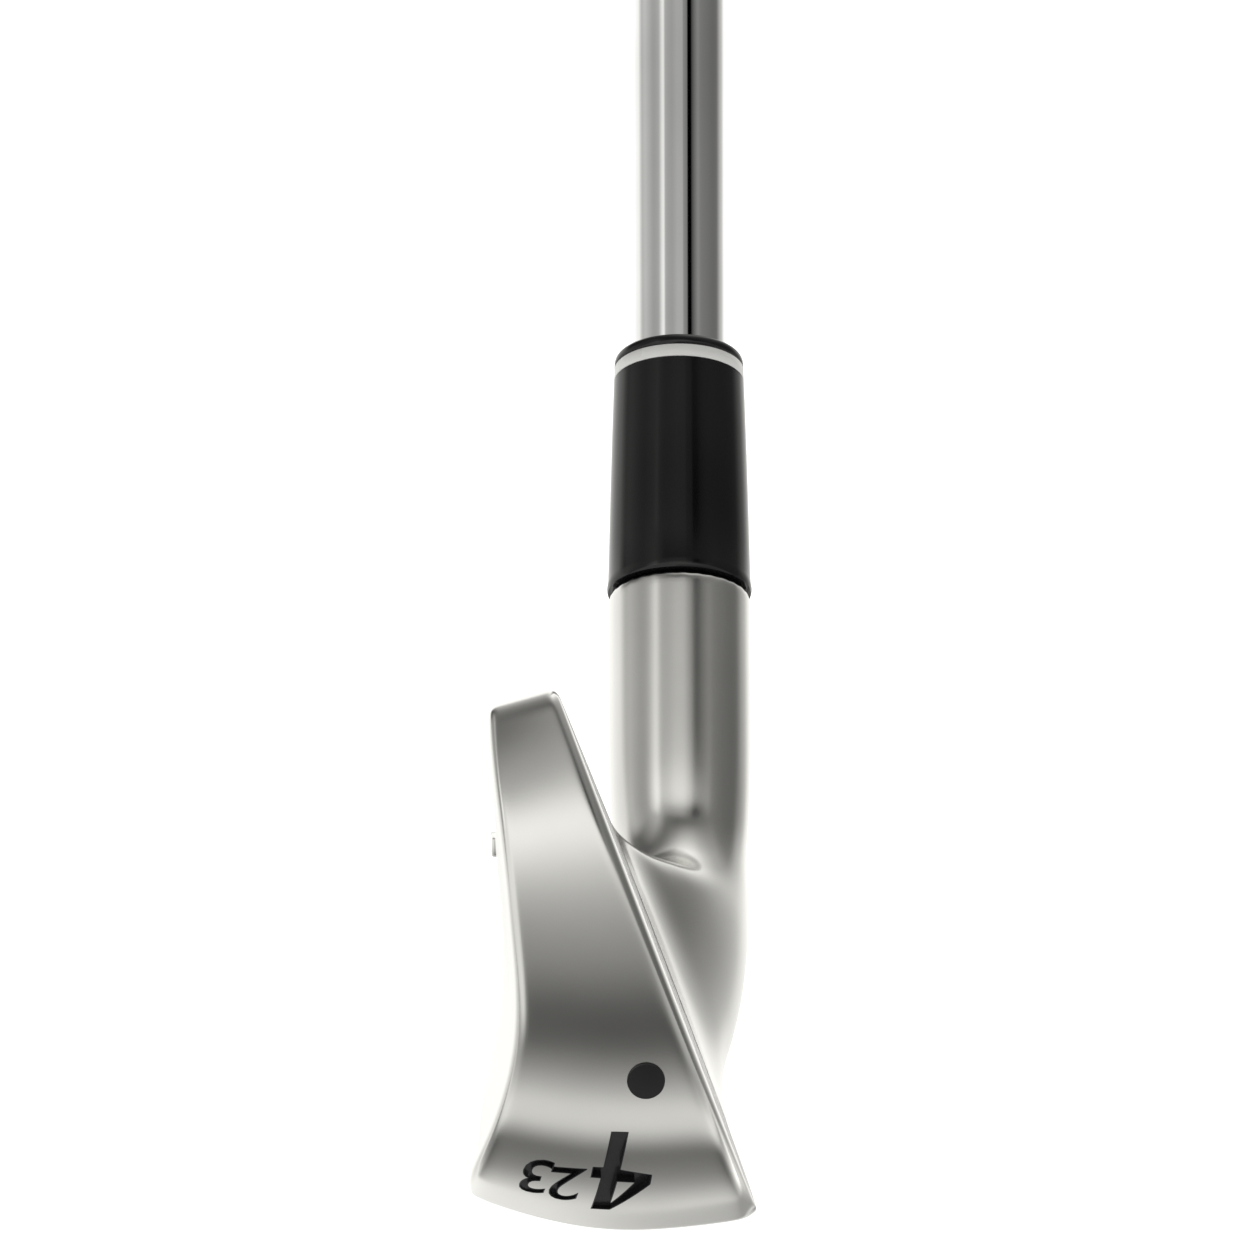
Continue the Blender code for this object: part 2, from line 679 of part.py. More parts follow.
# --- Shaft, ferrule and grip


def tip_radius(t):
    return (TIP_DIAMETER + (t - TIP_START) * TIP_TAPER) / 2


def make_hosel_bore(head, line):
    top = HOSEL_TOP + 2.0
    bore = [(0, BORE_FLOOR), (BORE_RADIUS, BORE_FLOOR), (BORE_RADIUS, top), (0, top)]
    boolean(head, add_piece("hosel_bore", turned(bore), line))


def shaft_profile():
    """The tube's outside from tip to butt, then its inside back down."""
    first_radius = tip_radius(STEP_FIRST)
    rise = (BUTT_DIAMETER / 2 - first_radius) / STEP_COUNT
    outside = [(tip_radius(TIP_START) - 0.3, TIP_START), (tip_radius(TIP_START), TIP_START + 0.5)]
    outside += [(tip_radius(FERRULE_END), FERRULE_END), (first_radius, STEP_FIRST)]
    for k in range(STEP_COUNT):
        start = STEP_FIRST + k * STEP_PITCH
        radius = first_radius + (k + 1) * rise
        outside.append((radius, start + STEP_LENGTH))
        outside.append((radius, start + (STEP_PITCH if k < STEP_COUNT - 1 else STEP_LENGTH * 2)))
    outside.append((BUTT_DIAMETER / 2, SHAFT_END))
    butt_bore = BUTT_DIAMETER / 2 - SHAFT_WALL
    inside = [(butt_bore, SHAFT_END), (butt_bore, INNER_STEP_END), (first_radius - SHAFT_WALL, STEP_FIRST)]
    inside += [(TIP_BORE_RADIUS, FERRULE_END), (TIP_BORE_RADIUS, TIP_START)]
    return outside + inside


def sleeve_profile(inner, outer, start, end):
    return [(inner, start), (outer, start), (outer, end), (inner, end)]


def make_shaft(line):
    shade(add_piece("shaft", turned(shaft_profile()), line, "chrome"))
    glue = sleeve_profile(tip_radius(HOSEL_TOP) + FIT, BORE_RADIUS - FIT, TIP_START + 0.6, HOSEL_TOP - 0.5)
    shade(add_piece("hosel_epoxy", turned(glue), line, "glue"))
    wide = TIP_BORE_RADIUS - CLEAR
    slim = wide - 0.4
    neck = PIN_START + PIN_HEAD
    pin = [(0, PIN_START), (wide, PIN_START), (wide, neck), (slim, neck + 0.3), (slim, PIN_END - 0.6)]
    shade(add_piece("tip_weight_pin", turned([*pin, (0, PIN_END)], 20), line, "brass"))
    plug = [(0, PLUG_START), (wide, PLUG_START), (wide, PLUG_END), (0, PLUG_END)]
    shade(add_piece("tip_plug", turned(plug, 20), line, "cork"))
    inner = BUTT_DIAMETER / 2 + FIT
    band = sleeve_profile(inner, inner + LAYER, BAND_START, BAND_END)
    shade(add_piece("shaft_band", turned(band), line, "label"))


def make_ferrule(line):
    bore = tip_radius(FERRULE_END) + FIT
    sleeve = [(bore, FERRULE_START), (7.0, FERRULE_START), *FERRULE_FLANK, (bore, FERRULE_FLANK[-1][1])]
    shade(add_piece("ferrule_sleeve", turned(sleeve), line, "gloss_black"))
    ring = [(bore, RING_START), (RING_RADII[0], RING_START), (RING_RADII[1], CAP_START), (bore, CAP_START)]
    shade(add_piece("ferrule_ring", turned(ring), line, "light_ring"))
    cap = [(bore, CAP_START + FERRULE_SEAM), *CAP_PROFILE, (bore, FERRULE_END)]
    shade(add_piece("ferrule_cap", turned(cap), line, "gloss_black"))


def make_grip(line):
    mouth = CLUB_END - GRIP_LENGTH
    tape_inner = BUTT_DIAMETER / 2 + FIT
    tape_outer = tape_inner + LAYER
    tape = sleeve_profile(tape_inner, tape_outer, mouth + 4.0, SHAFT_END - 1.0)
    shade(add_piece("grip_tape", turned(tape), line, "tape"))
    core = tape_outer + FIT
    top = CLUB_END - CAP_LENGTH - CAP_SEAM
    bead = GRIP_MOUTH_RADIUS + GRIP_MOUTH_BEAD
    outside = [(GRIP_MOUTH_RADIUS, mouth), (bead, mouth + 1.2), (bead, mouth + 3.5)]
    low, high = mouth + 4.2, top - 12.0
    for k in range(GRIP_SECTIONS + 1):
        share = k / GRIP_SECTIONS
        radius = GRIP_MOUTH_RADIUS + 0.35 + (GRIP_BUTT_RADIUS - 1.2 - GRIP_MOUTH_RADIUS) * share**1.15
        outside.append((radius, low + (high - low) * share))
    outside += [(GRIP_BUTT_RADIUS, top - 4.0), (GRIP_BUTT_RADIUS, top)]
    shade(add_piece("grip_sleeve", turned([(core, mouth), *outside, (core, top)]), line, "grip_rubber"))
    cap = [
        (VENT_RADIUS, CLUB_END - CAP_LENGTH),
        (GRIP_BUTT_RADIUS, CLUB_END - CAP_LENGTH),
        (GRIP_BUTT_RADIUS, CLUB_END - 1.8),
        (GRIP_BUTT_RADIUS - 0.6, CLUB_END - 0.5),
        (GRIP_BUTT_RADIUS - 1.8, CLUB_END),
        (VENT_RADIUS, CLUB_END),
    ]
    shade(add_piece("grip_end_cap", turned(cap), line, "grip_rubber"))


def main():
    clear_scene()
    make_materials()
    ground_point = -SHAFT_DIRECTION * HOLD * MM
    ground = add_empty("ground_point", ground_point)
    line = add_empty("shaft_line", ground_point, (LIE - math.pi / 2, 0, 0))
    head = make_head(ground)
    make_plate(ground)
    make_hosel_bore(head, line)
    make_port_plug(head, ground)
    make_badge(head, ground)
    make_numbers(head, ground)
    make_shaft(line)
    make_ferrule(line)
    make_grip(line)


main()
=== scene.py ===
import math

import bmesh
import bpy
from mathutils import Matrix, Vector
from mathutils.bvhtree import BVHTree
from mathutils.interpolate import poly_3d_calc


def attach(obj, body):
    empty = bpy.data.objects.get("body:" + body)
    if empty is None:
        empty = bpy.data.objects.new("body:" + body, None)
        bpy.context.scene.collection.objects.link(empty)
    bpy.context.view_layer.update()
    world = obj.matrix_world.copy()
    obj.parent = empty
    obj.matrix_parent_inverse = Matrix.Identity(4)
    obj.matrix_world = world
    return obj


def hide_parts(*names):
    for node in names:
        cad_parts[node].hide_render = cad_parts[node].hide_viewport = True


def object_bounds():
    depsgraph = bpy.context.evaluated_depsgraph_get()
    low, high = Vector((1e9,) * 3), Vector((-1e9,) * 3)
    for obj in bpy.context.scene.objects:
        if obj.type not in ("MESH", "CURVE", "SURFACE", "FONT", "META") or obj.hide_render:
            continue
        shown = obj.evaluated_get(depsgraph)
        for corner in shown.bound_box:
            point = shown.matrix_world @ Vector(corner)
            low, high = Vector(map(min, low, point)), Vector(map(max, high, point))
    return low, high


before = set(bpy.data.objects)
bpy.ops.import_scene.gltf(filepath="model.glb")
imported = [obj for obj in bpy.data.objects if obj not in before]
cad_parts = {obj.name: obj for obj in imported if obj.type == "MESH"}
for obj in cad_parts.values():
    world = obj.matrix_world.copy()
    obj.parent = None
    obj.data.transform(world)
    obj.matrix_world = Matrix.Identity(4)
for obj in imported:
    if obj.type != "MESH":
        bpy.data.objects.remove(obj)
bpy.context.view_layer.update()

mm = 0.001
weld = 0.001  # points closer than this, in millimetres, are one

# The club stands soled at address: +X is where the ball goes, +Y runs from the toe to the player.
# Shapes are drawn in millimetres from the point where the shaft's line meets the ground.
club = {
    "lie": math.radians(61.0),
    "loft": math.radians(22.3),
    "hold": 868.0,  # from the ground to the hands, along the shaft
    "end": 978.0,  # from the ground to the butt
}
shaftLine = Vector((0, math.cos(club["lie"]), math.sin(club["lie"])))
fromGround = Matrix.Translation(shaftLine * -club["hold"] * mm) @ Matrix.Scale(mm, 4)
leanOver = Matrix.Rotation(club["lie"] - math.pi / 2, 4, "X")  # pieces on the shaft are turned about +Z first


def clamp(share):
    return min(max(share, 0.0), 1.0)


def newPiece(name, bm, place=Matrix.Identity(4)):
    bmesh.ops.recalc_face_normals(bm, faces=bm.faces)
    bm.transform(place)
    mesh = bpy.data.meshes.new(name)
    bm.to_mesh(mesh)
    bm.free()
    piece = bpy.data.objects.new(name, mesh)
    bpy.context.scene.collection.objects.link(piece)
    return piece


def addModifier(piece, kind, **settings):
    modifier = piece.modifiers.new(kind.lower(), kind)
    for key, value in settings.items():
        setattr(modifier, key, value)


def evaluatedMesh(piece):
    bpy.context.view_layer.update()
    graph = bpy.context.evaluated_depsgraph_get()
    evaluated = piece.evaluated_get(graph)
    return bpy.data.meshes.new_from_object(evaluated, preserve_all_data_layers=True, depsgraph=graph)


def applyStack(piece):
    mesh = evaluatedMesh(piece)
    piece.modifiers.clear()
    old = piece.data
    piece.data = mesh
    bpy.data.meshes.remove(old)


def cutAway(piece, cutter):
    addModifier(piece, "BOOLEAN", object=cutter, solver="EXACT")
    applyStack(piece)
    bpy.data.objects.remove(cutter)


def shade(piece, angle=30.0):
    piece.data.shade_smooth()
    piece.data.set_sharp_from_angle(angle=math.radians(angle))


def finishPiece(piece, material, node, angle=30.0):
    if angle:
        shade(piece, angle)
    piece.data.transform(fromGround)
    piece.data.materials.clear()
    piece.data.materials.append(materials[material])
    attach(piece, "root")
    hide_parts(node)


def along(points, t):  # a smooth line through the points, by share of its length
    lengths = [math.dist(a, b) for a, b in zip(points, points[1:])]
    target = clamp(t) * sum(lengths)
    index = 0
    while index < len(lengths) - 1 and target > lengths[index]:
        target -= lengths[index]
        index += 1
    s = target / lengths[index]
    before, after = points[max(index - 1, 0)], points[min(index + 2, len(points) - 1)]
    return [
        p1 + 0.5 * s * (p2 - p0 + s * (2 * p0 - 5 * p1 + 4 * p2 - p3 + s * (3 * (p1 - p2) + p3 - p0)))
        for p0, p1, p2, p3 in zip(before, points[index], points[index + 1], after)
    ]


def newMaterial(name, color, roughness, metallic=0.0, **sockets):
    material = bpy.data.materials.new(name)
    material.use_nodes = True
    shader = material.node_tree.nodes["Principled BSDF"]
    shader.inputs["Base Color"].default_value = (*color, 1.0)
    shader.inputs["Roughness"].default_value = roughness
    shader.inputs["Metallic"].default_value = metallic
    for key, value in sockets.items():
        shader.inputs[key.replace("_", " ")].default_value = value
    return material, shader


def addNode(material, kind, **settings):
    node = material.node_tree.nodes.new(kind)
    for key, value in settings.items():
        node.inputs[key].default_value = value
    return node


def join(material, *pairs):
    for start, end in zip(pairs[::2], pairs[1::2]):
        material.node_tree.links.new(start, end)


def noiseOn(material, scale, detail=3.0, stretch=(1, 1, 1)):
    coords = addNode(material, "ShaderNodeTexCoord")
    mapping = addNode(material, "ShaderNodeMapping", Scale=stretch)
    noise = addNode(material, "ShaderNodeTexNoise", Scale=scale, Detail=detail)
    join(
        material,
        coords.outputs["Object"], mapping.inputs["Vector"],
        mapping.outputs["Vector"], noise.inputs["Vector"],
    )
    return noise.outputs["Fac"]


def spread(material, factor, low, high):
    ramp = addNode(material, "ShaderNodeMapRange")
    ramp.inputs["To Min"].default_value = low
    ramp.inputs["To Max"].default_value = high
    join(material, factor, ramp.inputs["Value"])
    return ramp.outputs["Result"]


def tint(material, factor, low, high):
    ramp = addNode(material, "ShaderNodeValToRGB")
    for element, place, color in zip(ramp.color_ramp.elements, (0.3, 0.7), (low, high)):
        element.position = place
        element.color = (*color, 1)
    join(material, factor, ramp.inputs["Fac"])
    return ramp.outputs["Color"]


def roughen(material, shader, factor, strength, depth):
    bump = addNode(material, "ShaderNodeBump", Strength=strength, Distance=depth)
    join(material, factor, bump.inputs["Height"], bump.outputs["Normal"], shader.inputs["Normal"])


patina = {
    "cloudScale": 60.0,
    "cloudDetail": 4.0,
    "lighter": (1.05, 0.004),
    "darker": 0.95,
    "smoothest": 0.02,
    "grainDetail": 2.0,
    "grainStrength": 0.25,
}
materials = {}


def surface(
    name, color, roughness, metallic=0.0,
    grain=4000.0, grainDepth=0.00002, wear=0.04, stretch=(1, 1, 1), **sockets,
):
    material, shader = newMaterial(name, color, roughness, metallic, **sockets)
    cloud = noiseOn(material, patina["cloudScale"], patina["cloudDetail"])
    gain, lift = patina["lighter"]
    lighter = tuple(min(c * gain + lift, 1.0) for c in color)
    darker = tuple(c * patina["darker"] for c in color)
    join(material, tint(material, cloud, darker, lighter), shader.inputs["Base Color"])
    worn = spread(material, cloud, max(roughness - wear, patina["smoothest"]), roughness + wear)
    join(material, worn, shader.inputs["Roughness"])
    fine = noiseOn(material, grain, patina["grainDetail"], stretch)
    roughen(material, shader, fine, patina["grainStrength"], grainDepth)
    materials[name] = material


surface("satinChrome", (0.80, 0.795, 0.775), 0.19, 1.0, grain=6000.0, grainDepth=0.000006, wear=0.02)
surface("faceSteel", (0.66, 0.655, 0.64), 0.36, 1.0, grain=5000.0, grainDepth=0.00003, wear=0.05)
surface("mirrorChrome", (0.93, 0.93, 0.935), 0.045, 1.0, grain=400.0, grainDepth=0.0000005, wear=0.01)
surface(
    "ferruleBlack", (0.004, 0.004, 0.0045), 0.10,
    grain=900.0, grainDepth=0.000002, wear=0.03, Specular_IOR_Level=0.4,
)
surface("ferruleRing", (0.66, 0.66, 0.645), 0.28, grain=1500.0, grainDepth=0.000004)
surface("paintFill", (0.008, 0.008, 0.009), 0.22, grain=2500.0, grainDepth=0.00001, wear=0.05)
surface("portBlack", (0.010, 0.010, 0.0105), 0.42, grain=3500.0, wear=0.06, Specular_IOR_Level=0.25)
surface("gripRubber", (0.022, 0.022, 0.023), 0.62, grain=3000.0, grainDepth=0.00004, wear=0.08)
surface("tungsten", (0.34, 0.34, 0.36), 0.45, 1.0, grain=3000.0)
surface("brass", (0.72, 0.55, 0.27), 0.30, 1.0, grain=3000.0, grainDepth=0.00001)
surface("polymer", (0.50, 0.53, 0.57), 0.55, grain=1500.0)
surface("epoxy", (0.62, 0.58, 0.45), 0.45, grain=1500.0)
surface("cork", (0.50, 0.36, 0.22), 0.85, grain=900.0, grainDepth=0.0002)
surface("label", (0.72, 0.72, 0.71), 0.38, grain=2500.0)
surface("tape", (0.78, 0.74, 0.62), 0.80, grain=1800.0, stretch=(1, 1, 6))
print("materials made")


# The head is one closed cage of blade, neck and hosel, smoothed by subdivision.
head = {
    "faceAtGround": 6.0,  # how far forward the face's plane meets the ground
    "topAtAxis": 30.2,
    "topSlope": math.radians(22.4),
    "topDip": 2.4,  # of the topline's last part, at the toe
    "topDipStart": 0.86,
    "toplineWidth": 4.7,
    "soleLowY": -30.0,
    "soleRadius": 115.0,
    "soleSag": 2.5,
    "leadingLift": 1.9,
    "leadingLoss": 0.35,  # share of that lift which is lost towards the toe
    "trailingLift": 3.2,
    "frontRim": 1.9,
    "topRim": 1.0,
    "rimShare": 0.56,  # how far from the corner a rim's cage line lies, in radii
    "rimEnd": 1.25,
    "cornerRim": 1.4,
    "backRim": 1.1,
    "backRimMost": 0.22,  # of the band's width
    "soleBackRim": 3.0,
    "soleCrease": 0.45,
    "bandLines": (0.42, 0.66),
    "heelY": -8.0,
    "middleY": -34.0,
    "toeOutline": [
        (-58.5, 3.6), (-65.0, 8.6), (-69.2, 15.2), (-71.0, 24.0), (-69.8, 34.0), (-66.5, 43.4), (-60.5, 51.2),
    ],
    "backProfile": [
        (3.0, -21.2), (5.5, -22.4), (9.0, -22.7), (13.6, -20.6), (18.3, -19.3), (23.0, -18.8),
        (27.0, -18.9), (32.0, -19.8), (38.0, -20.4), (43.0, -21.2), (48.0, -21.9), (56.0, -21.9),
    ],
    "heelThinning": 4.2,
    "shoulderSlope": 0.95,
    "shoulderBlend": 0.8,
    "toeFlare": 0.055,  # how much the low part of the back changes per millimetre along the blade
    "flareTop": 21.0,
    "flareFade": 12.0,
    "flareY": -60.0,
    "across": [0.0, 0.12, 0.24, 0.36, 0.48, 0.6, 0.71, 0.81, 0.89, 0.955, 1.0],
    "upwards": [0.0, 0.045, 0.13, 0.26, 0.42, 0.58, 0.74, 0.87, 0.96, 1.0],
    "hoselRadius": 6.95,
    "hoselStart": 37.0,
    "hoselTop": 59.1,
    "hoselRings": (8.0, 0.3, 0.0),  # below its top
    "neckSteps": 8,
    "neckReach": 1.5,
    "neckHaste": (5.0, 2.4),  # how much sooner it takes on the hosel's width than its height, low and high
    "neckRounding": 9,
    "neckSwell": 1.1,  # of its front, most of it close to the blade
    "smoothing": 3,
}


def faceX(z):
    return head["faceAtGround"] - z * math.tan(club["loft"])


def toplineZ(y):
    return head["topAtAxis"] - y * math.tan(head["topSlope"])


def soleZ(y):
    return (y - head["soleLowY"]) ** 2 / (2 * head["soleRadius"])


def profileX(z):
    profile = head["backProfile"]
    for (z0, x0), (z1, x1) in zip(profile, profile[1:]):
        if z <= z1:
            return x0 + (x1 - x0) * (z - z0) / (z1 - z0)
    return profile[-1][1]


def backX(y, z):
    top = toplineZ(max(min(y, head["heelY"]), head["toeOutline"][-1][0]))
    rearZ = top - head["toplineWidth"] * math.sin(club["loft"])
    rearX = faceX(top) - head["toplineWidth"] * math.cos(club["loft"])
    shoulder = rearX - head["shoulderSlope"] * max(rearZ - z, 0.0)
    heelShare = clamp((y - head["middleY"]) / (head["heelY"] - head["middleY"]))
    muscle = profileX(z) + head["heelThinning"] * heelShare**2
    blend = head["shoulderBlend"]
    near = max(blend - abs(shoulder - muscle), 0.0) / blend
    lowShare = clamp((head["flareTop"] - z) / head["flareFade"])
    flare = head["toeFlare"] * lowShare * (min(y, head["middleY"]) - head["flareY"])
    return max(shoulder, muscle) + near * near * blend / 4 + flare


def rimRadius(v):
    return head["frontRim"] + (head["topRim"] - head["frontRim"]) * v * v


def soleEdge(y):
    share = (y - head["heelY"]) / (head["toeOutline"][0][0] - head["heelY"])
    loss = head["leadingLoss"] * max(share, 0.0) ** 4
    return Vector((y, soleZ(y) + head["leadingLift"] * (1 - loss)))


def topEdge(y):
    share = (y - head["heelY"]) / (head["toeOutline"][-1][0] - head["heelY"])
    late = max(share - head["topDipStart"], 0.0) / (1 - head["topDipStart"])
    return Vector((y, toplineZ(y) - head["topDip"] * late**1.5))


# from heel (u = 0) to toe and from sole (v = 0) to topline, between four edges
def outlinePoint(heelY, u, v):
    soleStart, soleEnd = soleEdge(heelY), soleEdge(head["toeOutline"][0][0])
    topStart, topEnd = topEdge(heelY), topEdge(head["toeOutline"][-1][0])
    sole = soleEdge(soleStart.x + (soleEnd.x - soleStart.x) * u)
    top = topEdge(topStart.x + (topEnd.x - topStart.x) * u)
    toe = Vector(along([tuple(soleEnd), *head["toeOutline"][1:-1], tuple(topEnd)], v))
    sides = sole.lerp(top, v) + soleStart.lerp(topStart, v).lerp(toe, u)
    return sides - soleStart.lerp(soleEnd, u).lerp(topStart.lerp(topEnd, u), v)


def headCage():
    across, upwards = head["across"], head["upwards"]
    grid = [[outlinePoint(head["heelY"], u, v) for v in upwards] for u in across]
    lastU, lastV = len(across) - 1, len(upwards) - 1
    bm = bmesh.new()
    front, back, corners = [], [], {}
    for i, row in enumerate(grid):
        frontRow, backRow = [], []
        for j, (v, (y, z)) in enumerate(zip(upwards, row)):
            inner = grid[min(i, lastU - 1)][min(max(j, 1), lastV - 1)]
            rim = (inner - row[j]).normalized() * rimRadius(v) * head["rimShare"]
            if i == lastU and j in (0, lastV):
                rim *= head["cornerRim"]
            nearY, nearZ = row[j] + rim
            frontRow.append(bm.verts.new((faceX(nearZ), nearY, nearZ)))
            corners[frontRow[-1]] = Vector((faceX(z), y, z))
            drop = head["toplineWidth"] * math.sin(club["loft"]) * v**3
            lift = (head["trailingLift"] - head["leadingLift"]) * (1 - v) ** 3
            backZ = z - drop + lift
            backRow.append(bm.verts.new((backX(y, backZ), y, backZ)))
        front.append(frontRow)
        back.append(backRow)

    def band(i, j, outward, sag, backRim):  # from the face's edge to the back's
        start, end = corners[front[i][j]], back[i][j].co
        width = (end - start).length
        rim = rimRadius(upwards[j]) / width
        shares = (
            rim * head["rimShare"], rim * head["rimEnd"], *head["bandLines"],
            1 - min(backRim / width, head["backRimMost"]),
        )
        line = [front[i][j]]
        for t in shares:
            line.append(bm.verts.new(start.lerp(end, t) + outward * sag * 4 * t * (1 - t)))
        line.append(back[i][j])
        return line

    down = Vector((0, 0, -1))
    topLines = [band(i, lastV, down, 0.0, head["backRim"]) for i in range(lastU + 1)]
    soleLines = [band(i, 0, down, head["soleSag"], head["soleBackRim"]) for i in range(lastU + 1)]
    toeLines = [soleLines[lastU]]
    for j in range(1, lastV):
        y0, z0 = grid[lastU][j - 1]
        y1, z1 = grid[lastU][j + 1]
        outward = Vector((0, -(z1 - z0), y1 - y0)).normalized()
        low = (1 - upwards[j]) ** 6
        backRim = head["backRim"] + (head["soleBackRim"] - head["backRim"]) * low
        toeLines.append(band(lastU, j, outward, head["soleSag"] * low, backRim))
    toeLines.append(topLines[lastU])

    for i in range(lastU):
        for j in range(lastV):
            bm.faces.new((front[i][j], front[i + 1][j], front[i + 1][j + 1], front[i][j + 1]))
            bm.faces.new((back[i][j], back[i][j + 1], back[i + 1][j + 1], back[i + 1][j]))
    for lines in (topLines, soleLines, toeLines):
        for one, two in zip(lines, lines[1:]):
            for k in range(len(one) - 1):
                bm.faces.new((one[k], one[k + 1], two[k + 1], two[k]))

    creases = bm.edges.layers.float.new("crease_edge")
    corner = soleLines[lastU]
    for one, two in zip(corner[1:-2], corner[2:-1]):
        bm.edges.get((one, two))[creases] = head["soleCrease"]

    ring, inner = (
        front[i] + topLines[i][1:-1] + back[i][::-1] + soleLines[i][1:-1][::-1]
        for i in (0, 1)
    )
    addNeck(bm, ring, inner, lastV)
    return bm


def addNeck(bm, ring, inner, lastV):
    count = len(ring)
    inwards = Vector((0, -math.sin(club["lie"]), math.cos(club["lie"])))
    angles = [2 * math.pi * (k - lastV / 2) / count for k in range(count)]
    # smoothing draws a ring in, so the cage's ring is wider
    cageRadius = head["hoselRadius"] * 6 / (4 + 2 * math.cos(2 * math.pi / count))
    starts = [vert.co.copy() for vert in ring]
    ends = []
    for angle in angles:
        spoke = Vector((1, 0, 0)) * math.cos(angle) + inwards * math.sin(angle)
        ends.append(shaftLine * head["hoselStart"] + spoke * cageRadius)
    lowHaste, highHaste = head["neckHaste"]
    rings = [ring]
    for step in range(1, head["neckSteps"] + 1):
        s = step / head["neckSteps"]
        newRing = []
        for start, end, behind in zip(starts, ends, inner):
            reach = (end - start).length * head["neckReach"]
            leave = (start - behind.co).normalized() * reach
            arrive = shaftLine * reach
            point = start * (2 * s**3 - 3 * s**2 + 1) + leave * (s**3 - 2 * s**2 + s)
            point += end * (3 * s**2 - 2 * s**3) + arrive * (s**3 - s**2)
            haste = lowHaste + (highHaste - lowHaste) * clamp(start.z / toplineZ(head["heelY"]))
            point.x = start.x + (end.x - start.x) * (1 - (1 - s) ** haste)
            newRing.append(point)
        for _ in range(head["neckRounding"] if step < head["neckSteps"] else 0):
            middles = [(newRing[k - 1] + newRing[(k + 1) % count]) / 2 for k in range(count)]
            newRing = [point.lerp(middle, 0.5) for point, middle in zip(newRing, middles)]
        swell = head["neckSwell"] * 6.75 * s * (1 - s) ** 2  # 6.75 makes its highest value 1
        for angle, point in zip(angles, newRing):
            point.x += swell * max(math.cos(angle), 0.0)
        rings.append([bm.verts.new(point) for point in newRing])
    for drop in head["hoselRings"]:
        rise = shaftLine * (head["hoselTop"] - drop - head["hoselStart"])
        rings.append([bm.verts.new(end + rise) for end in ends])
    for one, two in zip(rings, rings[1:]):
        for k in range(count):
            bm.faces.new((one[k], one[(k + 1) % count], two[(k + 1) % count], two[k]))
    bm.faces.new(rings[-1])


slabs = {
    "steps": 24,
    "rings": (1.0, 0.66, 0.33),
    "length": 52,  # the blade's, for drawing its ends in
}


# the blade's outline drawn in by inset, from a plane along the face to the surface farOf
def slab(inset, heelY, near, farOf):
    steps = slabs["steps"]
    outline = []
    for k in range(4 * steps):
        side, share = k // steps, k % steps / steps
        u = (share, 1, 1 - share, 0)[side] * (1 - inset / slabs["length"])
        v = (0, share, 1, 1 - share)[side]
        height = outlinePoint(heelY, u, 1).y - outlinePoint(heelY, u, 0).y
        outline.append(outlinePoint(heelY, u, v + (1 - 2 * v) * inset / height))
    count = len(outline)
    middle = sum(outline, Vector((0, 0))) / count
    bm = bmesh.new()
    rings = []
    for share in slabs["rings"]:
        ring = []
        for point in outline:
            p = middle.lerp(point, share)
            ring.append((bm.verts.new((faceX(p.y) + near, *p)), bm.verts.new((farOf(*p), *p))))
        rings.append(ring)
    for k in range(count):
        n = (k + 1) % count
        bm.faces.new((rings[0][k][0], rings[0][n][0], rings[0][n][1], rings[0][k][1]))
        for one, two in zip(rings, rings[1:]):
            for side in (0, 1):
                bm.faces.new((one[k][side], one[n][side], two[n][side], two[k][side]))
    for side in (0, 1):
        bm.faces.new([pair[side] for pair in rings[-1]])
    return bm


def extrude(outlines, origin, right, up, low, high):  # outlines inside the first one are holes
    bm = bmesh.new()
    out = right.cross(up)
    for outline in outlines:
        rings = []
        for height in (low, high):
            rings.append([bm.verts.new(origin + right * x + up * y + out * height) for x, y in outline])
        for k in range(len(outline)):
            n = (k + 1) % len(outline)
            bm.faces.new((rings[0][k], rings[0][n], rings[1][n], rings[1][k]))
    for height in (low, high):
        level = [
            edge for edge in bm.edges
            if len(edge.link_faces) == 1 and abs((edge.verts[0].co - origin).dot(out) - height) < weld
        ]
        bmesh.ops.triangle_fill(bm, use_beauty=True, edges=level)
    return bm


def turned(name, profile, place, steps=96, bevel=None):
    bm = bmesh.new()
    verts = [bm.verts.new((radius, 0, height)) for radius, height in profile]
    for one, two in zip(verts, verts[1:]):
        bm.edges.new((one, two))
    if profile[0][0] > 0:
        bm.edges.new((verts[-1], verts[0]))
    piece = newPiece(name, bm)
    if bevel:
        addModifier(piece, "BEVEL", affect="VERTICES", width=bevel, segments=3, limit_method="NONE")
    addModifier(
        piece, "SCREW", axis="Z", steps=steps, render_steps=steps,
        use_merge_vertices=True, merge_threshold=weld,
    )
    applyStack(piece)
    mesh = piece.data
    bm = bmesh.new()
    bm.from_mesh(mesh)
    bmesh.ops.recalc_face_normals(bm, faces=bm.faces)
    bm.transform(place)
    bm.to_mesh(mesh)
    bm.free()
    return piece


def toePlace(height, fineness=400):  # the point of the toe's outline at a height, and the way out from it
    points = [along(head["toeOutline"], k / fineness) for k in range(fineness + 1)]
    index = min(range(1, fineness), key=lambda k: abs(points[k][1] - height))
    before, after = points[index - 1], points[index + 1]
    outward = Vector((0, -(after[1] - before[1]), after[0] - before[0])).normalized()
    return Vector((0, *points[index])), outward


shading = {"within": 0.02, "alike": 0.85}


